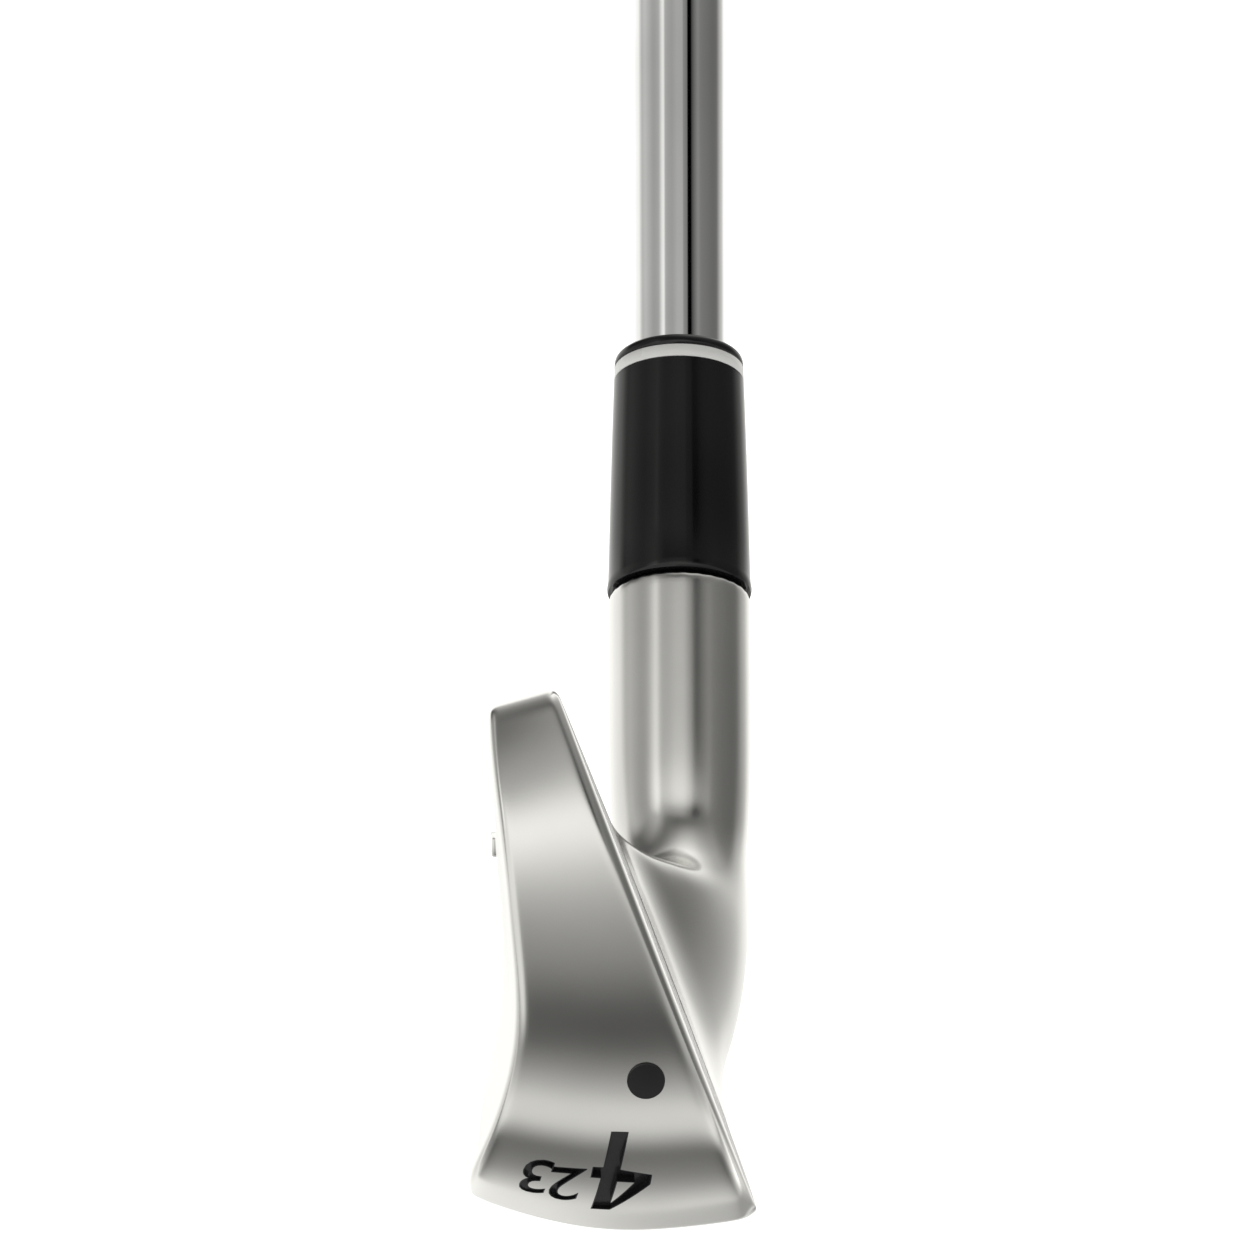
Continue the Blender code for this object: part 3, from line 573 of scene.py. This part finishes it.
# the cut head keeps the uncut one's shading, so its reflections stay clean
def keepNormals(piece, smoothMesh):
    whole = bmesh.new()
    whole.from_mesh(smoothMesh)
    whole.normal_update()
    whole.faces.ensure_lookup_table()
    tree = BVHTree.FromBMesh(whole)
    mesh = piece.data
    shade(piece)
    found = {}
    for vert in mesh.vertices:
        place, _, index, _ = tree.find_nearest(vert.co, shading["within"])
        if index is None:
            continue
        face = whole.faces[index]
        shares = poly_3d_calc([corner.co for corner in face.verts], place)
        normal = Vector()
        for corner, share in zip(face.verts, shares):
            normal += corner.normal * share
        found[vert.index] = normal.normalized()
    normals = [corner.vector.copy() for corner in mesh.corner_normals]
    for polygon in mesh.polygons:
        for loop in polygon.loop_indices:
            normal = found.get(mesh.loops[loop].vertex_index)
            if normal and normal.dot(polygon.normal) > shading["alike"]:
                normals[loop] = normal
    mesh.normals_split_custom_set(normals)
    whole.free()


plate = {
    "inset": 2.6,
    "gap": 0.14,
    "depth": 2.2,
    "backGap": 0.3,
    "heelY": -12.0,
    "edge": 0.07,
    "lines": 9,
    "lineWidth": 0.8,
    "lineDepth": 0.35,
    "lineSteps": 8,  # round each end
    "linePitch": 3.6,  # up the face
    "lowest": 8.0,
    "lowestShorter": 2.5,
    "underTop": 9.0,
    "toeEnd": -60.5,
    "heelEnd": -16.0,
}


def makePlate():
    outline = slab(
        plate["inset"] + plate["gap"], plate["heelY"] - plate["gap"], 0.0,
        lambda y, z: faceX(z) - plate["depth"] + plate["backGap"],
    )
    body = newPiece("facePlate", outline)
    up = Vector((-math.sin(club["loft"]), 0, math.cos(club["loft"])))
    right = Vector((0, 1, 0))
    half = plate["lineWidth"] / 2
    for k in range(plate["lines"]):
        z = plate["lowest"] + k * plate["linePitch"] * math.cos(club["loft"])
        toeEnd = plate["toeEnd"] + (plate["lowestShorter"] if k == 0 else 0)
        topEnd = (head["topAtAxis"] - z - plate["underTop"]) / math.tan(head["topSlope"])
        outline = []
        for side, end in ((-1, toeEnd), (1, min(plate["heelEnd"], topEnd))):
            for step in range(plate["lineSteps"] + 1):
                angle = math.pi * (step / plate["lineSteps"] - 0.5)
                outline.append((end + side * half * math.cos(angle), side * half * math.sin(angle)))
        groove = extrude([outline], Vector((faceX(z), 0, z)), right, up, -plate["lineDepth"], 1.0)
        cutAway(body, newPiece("groove", groove))
    shade(body, 60.0)
    addModifier(
        body, "BEVEL", width=plate["edge"], segments=2, limit_method="ANGLE", angle_limit=math.radians(50),
    )
    addModifier(body, "WEIGHTED_NORMAL", mode="FACE_AREA", weight=100, keep_sharp=False)
    applyStack(body)
    finishPiece(body, "faceSteel", "face_plate", angle=0)


port = {
    "radius": 1.72,
    "x": -7.2,
    "height": 18.6,
    "depth": 2.4,
    "edge": 0.06,
    "above": 2.0,
    "gap": 0.03,
    "under": 0.1,
    "sunk": 0.07,
    "crown": 0.12,
    "crownStops": (1.0, 0.9, 0.75, 0.6, 0.4, 0.2, 0.0),
}


def makePort():
    point, outward = toePlace(port["height"])
    turn = Vector((0, 0, 1)).rotation_difference(outward).to_matrix().to_4x4()
    place = Matrix.Translation(point + Vector((port["x"], 0, 0))) @ turn
    radius, depth, edge, above = (port[key] for key in ("radius", "depth", "edge", "above"))
    wide = radius + 2 * edge
    hole = [(0, -depth), (radius, -depth), (radius, -edge), (wide, edge), (wide, above), (0, above)]
    cutAway(headBody, turned("portHole", hole, place))
    radius -= port["gap"]
    foot = -depth + port["under"]
    top = [(radius * t, port["crown"] * (1 - t * t) - port["sunk"]) for t in port["crownStops"]]
    plug = turned("portPlug", [(0, foot), (radius, foot), *top], place)
    finishPiece(plug, "portBlack", "toe_port_plug")


digits = {
    "four": [
        [
            (-0.4, -5.2), (1.2, -5.2), (1.74, -1.2), (2.7, -1.2), (2.85, 0.2), (1.93, 0.25),
            (2.6, 5.2), (0.85, 5.2), (-2.65, 1.0), (-2.75, -0.3), (0.16, -0.95),
        ],
        [(0.38, 0.65), (-1.15, 0.75), (0.82, 3.9)],
    ],
    "slant": 0.16,
    "depth": 0.75,
    "above": 2.5,
    "gap": 0.01,
    "paint": 0.1,
    "places": {"4": (-8.95, 9.3), "2": (-13.7, 8.4), "3": (-16.4, 8.9)},
    "smallSize": 7.0,
    "smallWeight": 0.06,
}


def digitOutlines(text):
    if text == "4":
        return digits["four"]
    curve = bpy.data.curves.new("digit", "FONT")
    curve.body = text
    curve.size = digits["smallSize"]
    curve.shear = digits["slant"]
    curve.align_x = "CENTER"
    curve.align_y = "CENTER"
    curve.resolution_u = 4
    curve.offset = digits["smallWeight"]
    holder = bpy.data.objects.new("digit", curve)
    bpy.context.scene.collection.objects.link(holder)
    mesh = evaluatedMesh(holder)
    bpy.data.objects.remove(holder)
    bm = bmesh.new()
    bm.from_mesh(mesh)
    bmesh.ops.remove_doubles(bm, verts=bm.verts, dist=weld)
    rim = {edge for edge in bm.edges if len(edge.link_faces) == 1}
    edge = min(rim, key=lambda e: e.index)
    vert = edge.verts[0]
    outline = []
    while edge:
        outline.append((vert.co.x, vert.co.y))
        rim.discard(edge)
        vert = edge.other_vert(vert)
        edge = next((e for e in vert.link_edges if e in rim), None)
    bm.free()
    return [outline]


def makeDigit(text, node):
    x, height = digits["places"][text]
    point, outward = toePlace(height)
    right = Vector((-1, 0, 0))
    up = outward.cross(right)
    origin = point + Vector((x, 0, 0))
    outlines = digitOutlines(text)
    floor, above = -digits["depth"], digits["above"]
    cutAway(headBody, newPiece("recess", extrude(outlines, origin, right, up, floor, above)))
    # the paint lines the recess: its floor and, as a thin skin, its walls
    paint = newPiece("digit" + text, extrude(outlines, origin, right, up, floor + digits["gap"], above))
    addModifier(paint, "BOOLEAN", object=wholeHead, operation="INTERSECT", solver="EXACT")
    applyStack(paint)
    paint.data.shade_flat()
    shell = bmesh.new()
    shell.from_mesh(paint.data)
    shell.normal_update()
    lids = [face for face in shell.faces if face.normal.dot(outward) > 0.5]
    bmesh.ops.delete(shell, geom=lids, context="FACES")
    shell.to_mesh(paint.data)
    shell.free()
    addModifier(paint, "SOLIDIFY", thickness=digits["paint"], offset=-1.0, use_even_offset=False)
    applyStack(paint)
    finishPiece(paint, "paintFill", node)


badge = {
    "low": 34.2,
    "high": 36.1,
    "toeEnd": -37.0,
    "heelEnd": -32.0,
    "middle": (-34.0, 35.0),
    "proud": 0.25,
    "gap": 0.06,
    "recess": 0.7,
    "foot": 0.65,
    "above": 3.0,
    "edge": 0.2,
}


def makeBadge():
    origin = Vector((backX(*badge["middle"]), 0, 0))
    up, right = Vector((0, 0, 1)), Vector((0, -1, 0))

    def block(gap, foot, top):
        low, high = badge["low"] + gap, badge["high"] - gap
        near, far = -badge["heelEnd"] + gap, -badge["toeEnd"] - gap
        outline = [(far, low), (far, high), (near, high), (near, low)]
        return extrude([outline], origin, right, up, -foot, top)

    cutAway(headBody, newPiece("badgeRecess", block(0, badge["recess"], badge["above"])))
    bar = newPiece("backBadge", block(badge["gap"], badge["foot"], badge["proud"]))
    addModifier(bar, "BEVEL", width=badge["edge"], segments=4, limit_method="ANGLE")
    applyStack(bar)
    finishPiece(bar, "satinChrome", "back_badge")


hollow = {
    "side": 2.2,  # how far the cavity's sides lie inside the pocket's
    "heel": 2.0,
    "overlap": 0.5,
    "wall": 2.6,
    "pocketTop": 3.0,
    "bore": 4.95,
    "boreStart": 27.0,
    "boreEnd": 62.0,
    "boreSteps": 64,
}


def hollowHead():
    pocket = slab(
        plate["inset"], plate["heelY"], hollow["pocketTop"],
        lambda y, z: faceX(z) - plate["depth"],
    )
    cutAway(headBody, newPiece("pocket", pocket))
    cavity = slab(
        plate["inset"] + hollow["side"], plate["heelY"] - hollow["heel"], -plate["depth"] + hollow["overlap"],
        lambda y, z: max(backX(y, z), profileX(z)) + hollow["wall"],
    )
    cutAway(headBody, newPiece("cavity", cavity))
    bore, start, end = hollow["bore"], hollow["boreStart"], hollow["boreEnd"]
    profile = [(0, start), (bore, start), (bore, end), (0, end)]
    cutAway(headBody, turned("bore", profile, leanOver, steps=hollow["boreSteps"]))


headBody = newPiece("headBody", headCage())
addModifier(headBody, "SUBSURF", levels=head["smoothing"], render_levels=head["smoothing"])
applyStack(headBody)
headBody.data.shade_smooth()
smoothMesh = headBody.data.copy()
wholeHead = bpy.data.objects.new("wholeHead", smoothMesh)
bpy.context.scene.collection.objects.link(wholeHead)
print("head shaped")

hollowHead()
makePlate()
makePort()
print("face plate and port made")

makeDigit("4", "club_number_fill")
makeDigit("2", "loft_first_digit_fill")
makeDigit("3", "loft_second_digit_fill")
makeBadge()
bpy.data.objects.remove(wholeHead)
keepNormals(headBody, smoothMesh)
finishPiece(headBody, "satinChrome", "head_body", angle=0)
print("head made")


# The ferrule, the shaft and the grip are turned about the shaft's line.
shaft = {
    "tipRadius": 4.51,
    "tipStart": 29.0,
    "tipEdge": (0.3, 0.5),
    "taper": 0.00453,  # in diameter
    "firstStep": 212.0,
    "steps": 13,
    "pitch": 37.0,
    "stepLength": 1.2,
    "stepCurve": ((0.3, 0.85), (0.7, 0.15)),  # shares of its length, and of its rise that is still to come
    "buttRadius": 7.62,
    "end": 972.0,
    "wall": 0.6,
    "wideBoreStart": 660.0,
    "tipBore": 3.5,
    "tipBoreEnd": 84.7,
    "sides": 128,
}
label = {"start": 664.0, "end": 704.0, "gap": 0.12, "thickness": 0.2, "edge": 0.05}


def tipRadius(t):
    return shaft["tipRadius"] + (t - shaft["tipStart"]) * shaft["taper"] / 2


def makeShaft():
    tipStart, firstStep, wide = shaft["tipStart"], shaft["firstStep"], shaft["buttRadius"]
    first = tipRadius(firstStep)
    rise = (wide - first) / shaft["steps"]
    edge, edgeLength = shaft["tipEdge"]
    tip = tipRadius(tipStart)
    outside = [(tip - edge, tipStart), (tip, tipStart + edgeLength), (first, firstStep)]
    for k in range(shaft["steps"]):
        start = firstStep + k * shaft["pitch"]
        end = start + shaft["pitch"] if k < shaft["steps"] - 1 else shaft["end"]
        radius = first + (k + 1) * rise
        for share, missing in shaft["stepCurve"]:
            outside.append((radius - rise * missing, start + share * shaft["stepLength"]))
        outside += [(radius, start + shaft["stepLength"]), (radius, end)]
    inside = [
        (wide - shaft["wall"], shaft["end"]), (wide - shaft["wall"], shaft["wideBoreStart"]),
        (first - shaft["wall"], firstStep),
        (shaft["tipBore"], shaft["tipBoreEnd"]), (shaft["tipBore"], tipStart),
    ]
    tube = turned("shaftTube", outside + inside, leanOver, steps=shaft["sides"])
    finishPiece(tube, "mirrorChrome", "shaft", angle=25)
    inner = wide + label["gap"]
    outer = inner + label["thickness"]
    profile = [(inner, label["start"]), (outer, label["start"]), (outer, label["end"]), (inner, label["end"])]
    band = turned("shaftLabel", profile, leanOver, bevel=label["edge"])
    finishPiece(band, "label", "shaft_band")


def roundOver(outer, end, radius):  # a quarter circle from a side to a flat end
    angles = [math.radians(15 * k) for k in range(7)]
    return [(outer - radius + radius * math.cos(a), end - radius + radius * math.sin(a)) for a in angles]


ferrule = {
    "start": 59.25,
    "ringStart": 82.1,
    "capStart": 83.4,
    "end": 84.7,
    "gap": 0.12,  # to the shaft
    "seam": 0.03,
    "flank": [(7.06, 59.25), (7.16, 59.6), (7.05, 60.3), (6.95, 64.0), (6.83, 69.5), (6.66, 76.0)],
    "sleeveTop": (6.47, 6.41),
    "ringFoot": (6.42, 6.46),
    "ringTop": (6.42, 6.38),
    "capFoot": (6.36, 6.42),
    "edge": 0.06,
    "ringEdge": 0.05,
    "capRadius": 6.40,
    "capRound": 0.78,
    "sides": 160,
}


def makeFerrule():
    start, ringStart, capStart, end = (ferrule[key] for key in ("start", "ringStart", "capStart", "end"))
    bore = tipRadius(end) + ferrule["gap"]
    edge, ringEdge = ferrule["edge"], ferrule["ringEdge"]
    sleeveEnd, capFoot = ringStart - ferrule["seam"], capStart + ferrule["seam"]

    def walls(key, low, high):
        return list(zip(ferrule[key], (low, high)))

    sleeve = [
        (bore, start), *ferrule["flank"],
        *walls("sleeveTop", sleeveEnd - edge, sleeveEnd), (bore, sleeveEnd),
    ]
    ring = [
        (bore, ringStart), *walls("ringFoot", ringStart, ringStart + ringEdge),
        *walls("ringTop", capStart - ringEdge, capStart), (bore, capStart),
    ]
    cap = [
        (bore, capFoot), *walls("capFoot", capFoot, capFoot + edge),
        *roundOver(ferrule["capRadius"], end, ferrule["capRound"]), (bore, end),
    ]
    for name, profile, material, node, slot, angle in (
        ("ferruleSleeve", sleeve, "ferruleBlack", "ferrule_sleeve", "gloss_black", 40),
        ("ferruleRing", ring, "ferruleRing", "ferrule_ring", "light_ring", 50),
        ("ferruleCap", cap, "ferruleBlack", "ferrule_cap", "gloss_black", 50),
    ):
        piece = turned(name, profile, leanOver, steps=ferrule["sides"])
        finishPiece(piece, material, node, angle=angle)


grip = {
    "length": 266.0,
    "core": 8.06,
    "mouth": 8.9,
    "lip": [(0.0, 0.0), (0.5, 0.4), (0.55, 3.2)],  # wider and higher than the mouth's edge
    "lipLength": 4.2,
    "start": 0.35,  # wider than the mouth
    "finish": 1.2,  # narrower than the butt, with the start's width added
    "curve": 1.15,
    "grooves": (14.0, 17.0, 20.0, 226.0, 229.0, 232.0),
    "grooveCurve": ((-0.8, 0.0), (-0.45, 1.0), (0.45, 1.0), (0.8, 0.0)),
    "grooveDepth": 0.45,
    "butt": 13.4,
    "bulb": [(0.3, 5.0), (0.0, 3.0), (0.0, 0.0)],  # narrower and lower than the butt's edge
    "bulbLength": 12.0,
    "sides": 128,
    "cap": 4.5,
    "capGap": 0.05,
    "capRound": 1.8,
    "capRing": ((4.0, 0.0), (4.3, 0.3), (5.0, 0.3), (5.3, 0.0)),  # in from the edge, and down
    "vent": 1.2,
    "ventEdge": 0.2,
}


def gripRadius(share):
    growth = grip["butt"] - grip["finish"] - grip["mouth"]
    return grip["mouth"] + grip["start"] + growth * share ** grip["curve"]


def makeGrip():
    end, butt, vent = club["end"], grip["butt"], grip["vent"]
    mouth = end - grip["length"]
    top = end - grip["cap"] - grip["capGap"]
    bodyStart, bodyEnd = mouth + grip["lipLength"], top - grip["bulbLength"]
    outside = [(grip["mouth"] + wider, mouth + higher) for wider, higher in grip["lip"]]
    outside.append((gripRadius(0), bodyStart))
    for groove in grip["grooves"]:
        for offset, depth in grip["grooveCurve"]:
            radius = gripRadius((groove + offset) / (bodyEnd - bodyStart))
            outside.append((radius - depth * grip["grooveDepth"], bodyStart + groove + offset))
    outside.append((gripRadius(1), bodyEnd))
    outside += [(butt - narrower, top - lower) for narrower, lower in grip["bulb"]]
    profile = [(grip["core"], mouth), *outside, (grip["core"], top)]
    sleeve = turned("gripSleeve", profile, leanOver, steps=grip["sides"])
    finishPiece(sleeve, "gripRubber", "grip_sleeve", angle=50)
    capFoot = end - grip["cap"]
    profile = [
        (vent, capFoot), (butt, capFoot), *roundOver(butt, end, grip["capRound"]),
        *[(butt - inwards, end - lower) for inwards, lower in grip["capRing"]],
        (vent + grip["ventEdge"], end), (vent, end - grip["ventEdge"]),
    ]
    cap = turned("gripEndCap", profile, leanOver)
    finishPiece(cap, "gripRubber", "grip_end_cap", angle=40)


makeShaft()
makeFerrule()
makeGrip()
print("shaft, ferrule and grip made")

# pieces that keep their drawn shape, as they are inside the club
hidden = {
    "sole_weight": "tungsten",
    "toe_weight": "tungsten",
    "damping_insert": "polymer",
    "hosel_epoxy": "epoxy",
    "tip_weight_pin": "brass",
    "tip_plug": "cork",
    "grip_tape": "tape",
}
for node, material in hidden.items():
    mesh = bpy.data.objects[node].data
    mesh.materials.clear()
    mesh.materials.append(materials[material])


camera = {
    "aim": (-5.8, 28.7, 49.1),  # in millimetres from the ground point
    "distance": 1100.0,
    "elevation": math.radians(6.6),
    "turn": math.radians(-3.0),  # about the shaft's line
    "lens": 323.8,
    "sensor": 36.0,
    "clip": (0.05, 60.0),
}


def makeCamera():
    level = Vector((0, math.cos(camera["elevation"]), -math.sin(camera["elevation"])))
    forward = Matrix.Rotation(camera["turn"], 3, shaftLine) @ level
    rise = (shaftLine - forward * shaftLine.dot(forward)).normalized()
    side = forward.cross(rise)
    place = Matrix((side, rise, -forward)).transposed().to_4x4()
    place.translation = fromGround @ (Vector(camera["aim"]) - forward * camera["distance"])
    data = bpy.data.cameras.new("camera")
    data.lens = camera["lens"]
    data.sensor_width = camera["sensor"]
    data.clip_start, data.clip_end = camera["clip"]
    holder = bpy.data.objects.new("camera", data)
    holder.matrix_world = place
    bpy.context.scene.collection.objects.link(holder)
    bpy.context.scene.camera = holder


# The light is a soft studio drawn by direction. Angle is counted in the plane of the shaft: 0 is beyond
# the toe, 90 overhead, 180 beyond the player and -90 under the floor. Side runs from the back of the head
# (-1) to the ball (1). A band has stops of side, share of the angle's light, and light of its own. It fades
# in over the band before it, between its two angles.
studio = {
    "low": -117.0,
    "angle": [
        (-117, 0.88), (-94, 0.41), (-84, 0.27), (-66, 0.14), (-61, 0.36), (-54, 0.80), (-44, 0.80),
        (-37, 0.50), (-29, 0.27), (-21, 0.11), (-13, 0.08), (-6, 0.10), (0, 0.17), (6, 0.26), (12, 0.32),
        (18, 0.39), (24, 0.52), (30, 0.74), (36, 1.04), (42, 1.20), (46, 1.00), (49, 0.62), (52, 0.42),
        (60, 0.45), (90, 0.47), (120, 0.46), (135, 0.70), (150, 0.45), (160, 0.60), (243, 0.80),
    ],
    "bands": [
        (-119, -118, [
            (-1, 1.5, 0), (-0.45, 1.2, 0), (-0.32, 0.5, 0), (-0.1, 1, 0), (0.15, 1, 0), (0.43, 0.6, 0),
            (0.6, 1, 0), (0.8, 2.4, 0), (1, 1.8, 0),
        ]),
        (-66, -56, [
            (-1, 1, 0.15), (-0.3, 1, 0.15), (-0.1, 1, 0), (0.3, 1, 0.02), (0.6, 1, 0.2), (1, 0.8, 0.3),
        ]),
        (-24, -12, [
            (-1, 0, 0.86), (-0.35, 0, 0.9), (-0.22, 0.3, 0.75), (-0.06, 1, 0), (0.1, 1, 0), (0.3, 0.8, 0.03),
            (0.55, 0.5, 0.12), (0.8, 0.1, 0.38), (1, 0.1, 0.5),
        ]),
        (43, 50, [
            (-1, 0.75, 0), (-0.85, 0.75, 0), (-0.75, 1.6, 0), (-0.66, 2.3, 0), (-0.6, 2.2, 0),
            (-0.54, 0.95, 0), (-0.45, 0.85, 0), (-0.3, 0.8, 0), (-0.12, 0.9, 0), (0.1, 0.88, 0),
            (0.14, 0.6, 0), (0.27, 0.45, 0), (0.31, 0, 0), (0.42, 0, 0), (0.46, 0.15, 0), (0.6, 0.45, 0),
            (0.67, 0.66, 0), (0.75, 0.45, 0), (0.9, 0.35, 0), (1, 0.3, 0),
        ]),
        (56, 64, [
            (-1, 0.75, 0), (-0.8, 0.8, 0), (-0.6, 1.1, 0), (-0.4, 0.35, 0), (-0.1, 0.25, 0), (0.4, 0.35, 0),
            (0.7, 0.45, 0), (0.9, 0.34, 0), (1, 0.3, 0),
        ]),
        (70, 125, [
            (-1, 0, 0.62), (-0.9, 0, 0.5), (-0.8, 0, 0.12), (-0.5, 0, 0.1), (-0.32, 0, 0.2), (-0.19, 0, 0.43),
            (-0.07, 0, 0.72), (0.06, 0, 1.06), (0.18, 0, 1.2), (0.31, 0, 1.1), (0.45, 0, 0.75), (0.6, 0, 0.5),
            (0.7, 0, 0.4), (0.8, 0, 0.2), (0.92, 0, 0.14), (1, 0, 0.14),
        ]),
        (148, 166, [
            (-1, 0, 0.85), (-0.85, 0, 0.9), (-0.5, 0, 1.15), (0.3, 0, 1.2), (0.5, 0, 1.05), (0.6, 0, 0.9),
            (0.7, 0, 0.6), (0.8, 0, 0.45), (0.9, 0, 0.26), (1, 0, 0.24),
        ]),
        (186, 212, [
            (-1, 0, 0.75), (-0.6, 0, 0.9), (-0.32, 0, 1.12), (-0.19, 0, 1.05), (-0.07, 0, 0.9),
            (0.06, 0, 0.68), (0.18, 0, 0.5), (0.31, 0, 0.38), (0.5, 0, 0.38), (0.65, 0, 0.5),
            (0.8, 0, 0.85), (1, 0, 0.75),
        ]),
    ],
    "tint": (1.0, 0.995, 0.965),
}


def makeStudio():
    world = bpy.data.worlds.new("studio")
    bpy.context.scene.world = world
    world.use_nodes = True
    tree = world.node_tree

    def calculate(operation, *values, clamped=False):
        node = tree.nodes.new("ShaderNodeMath")
        node.operation = operation
        node.use_clamp = clamped
        for socket, value in zip(node.inputs, values):
            if isinstance(value, bpy.types.NodeSocket):
                tree.links.new(value, socket)
            else:
                socket.default_value = value
        return node.outputs[0]

    def ramp(position, stops):
        node = tree.nodes.new("ShaderNodeValToRGB")
        elements = node.color_ramp.elements
        elements.remove(elements[-1])
        for index, (place, value) in enumerate(stops):
            element = elements[0] if index == 0 else elements.new(place)
            element.position = place
            element.color = (value, value, value, 1)
        tree.links.new(position, node.inputs[0])
        return node.outputs[0]

    coords = tree.nodes.new("ShaderNodeTexCoord")
    split = tree.nodes.new("ShaderNodeSeparateXYZ")
    tree.links.new(coords.outputs["Generated"], split.inputs[0])
    x, y, z = split.outputs
    low = studio["low"]
    swing = calculate("ARCTAN2", z, calculate("MULTIPLY", y, -1.0))
    angle = calculate("WRAP", calculate("MULTIPLY", swing, math.degrees(1)), low + 360, low)
    share = calculate("DIVIDE", calculate("SUBTRACT", angle, low), 360)
    side = calculate("MULTIPLY_ADD", x, 0.5, 0.5)
    light = ramp(share, [((place - low) / 360, value) for place, value in studio["angle"]])
    result = 0.0
    for start, end, stops in studio["bands"]:
        shared = ramp(side, [((place + 1) / 2, value) for place, value, _ in stops])
        added = ramp(side, [((place + 1) / 2, value) for place, _, value in stops])
        total = calculate("ADD", calculate("MULTIPLY", light, shared), added)
        fade = calculate("DIVIDE", calculate("SUBTRACT", angle, start), end - start, clamped=True)
        change = calculate("MULTIPLY", fade, calculate("SUBTRACT", total, result))
        result = calculate("ADD", result, change)
    background = tree.nodes["Background"]
    background.inputs["Color"].default_value = (*studio["tint"], 1)
    tree.links.new(result, background.inputs["Strength"])


paper = {
    "half": 40.0,
    "below": 0.0002,
    "color": (0.93, 0.93, 0.93),
    "darker": (0.925, 0.925, 0.925),
    "lighter": (0.935, 0.935, 0.935),
    "cloudScale": 3.0,
    "roughness": 0.9,
    "glow": 0.9,
}


def makeFloor():
    low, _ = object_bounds()
    bm = bmesh.new()
    for x, y in ((-1, -1), (1, -1), (1, 1), (-1, 1)):
        bm.verts.new((x * paper["half"], y * paper["half"], low.z - paper["below"]))
    bm.faces.new(bm.verts)
    floor = newPiece("floor", bm)
    material, shader = newMaterial("floorPaper", paper["color"], paper["roughness"])
    cloud = tint(material, noiseOn(material, paper["cloudScale"]), paper["darker"], paper["lighter"])
    join(material, cloud, shader.inputs["Base Color"])
    shader.inputs["Emission Color"].default_value = (1, 1, 1, 1)
    shader.inputs["Emission Strength"].default_value = paper["glow"]
    floor.data.materials.append(material)
    floor.visible_glossy = False


softbox = {"place": (0.0, -0.4, 2.6), "target": (0.0, -0.4, -0.76), "size": 5.0, "power": 12.0}


def makeSoftbox():
    data = bpy.data.lights.new("overheadSoftbox", "AREA")
    data.size = softbox["size"]
    data.energy = softbox["power"]
    holder = bpy.data.objects.new("overheadSoftbox", data)
    holder.location = softbox["place"]
    aim = Vector(softbox["target"]) - Vector(softbox["place"])
    holder.rotation_euler = aim.to_track_quat("-Z", "Y").to_euler()
    holder.visible_glossy = False
    holder.visible_camera = False
    bpy.context.scene.collection.objects.link(holder)


makeCamera()
makeStudio()
makeFloor()
makeSoftbox()
bpy.context.scene.view_settings.view_transform = "Standard"
print("camera, floor and light made")
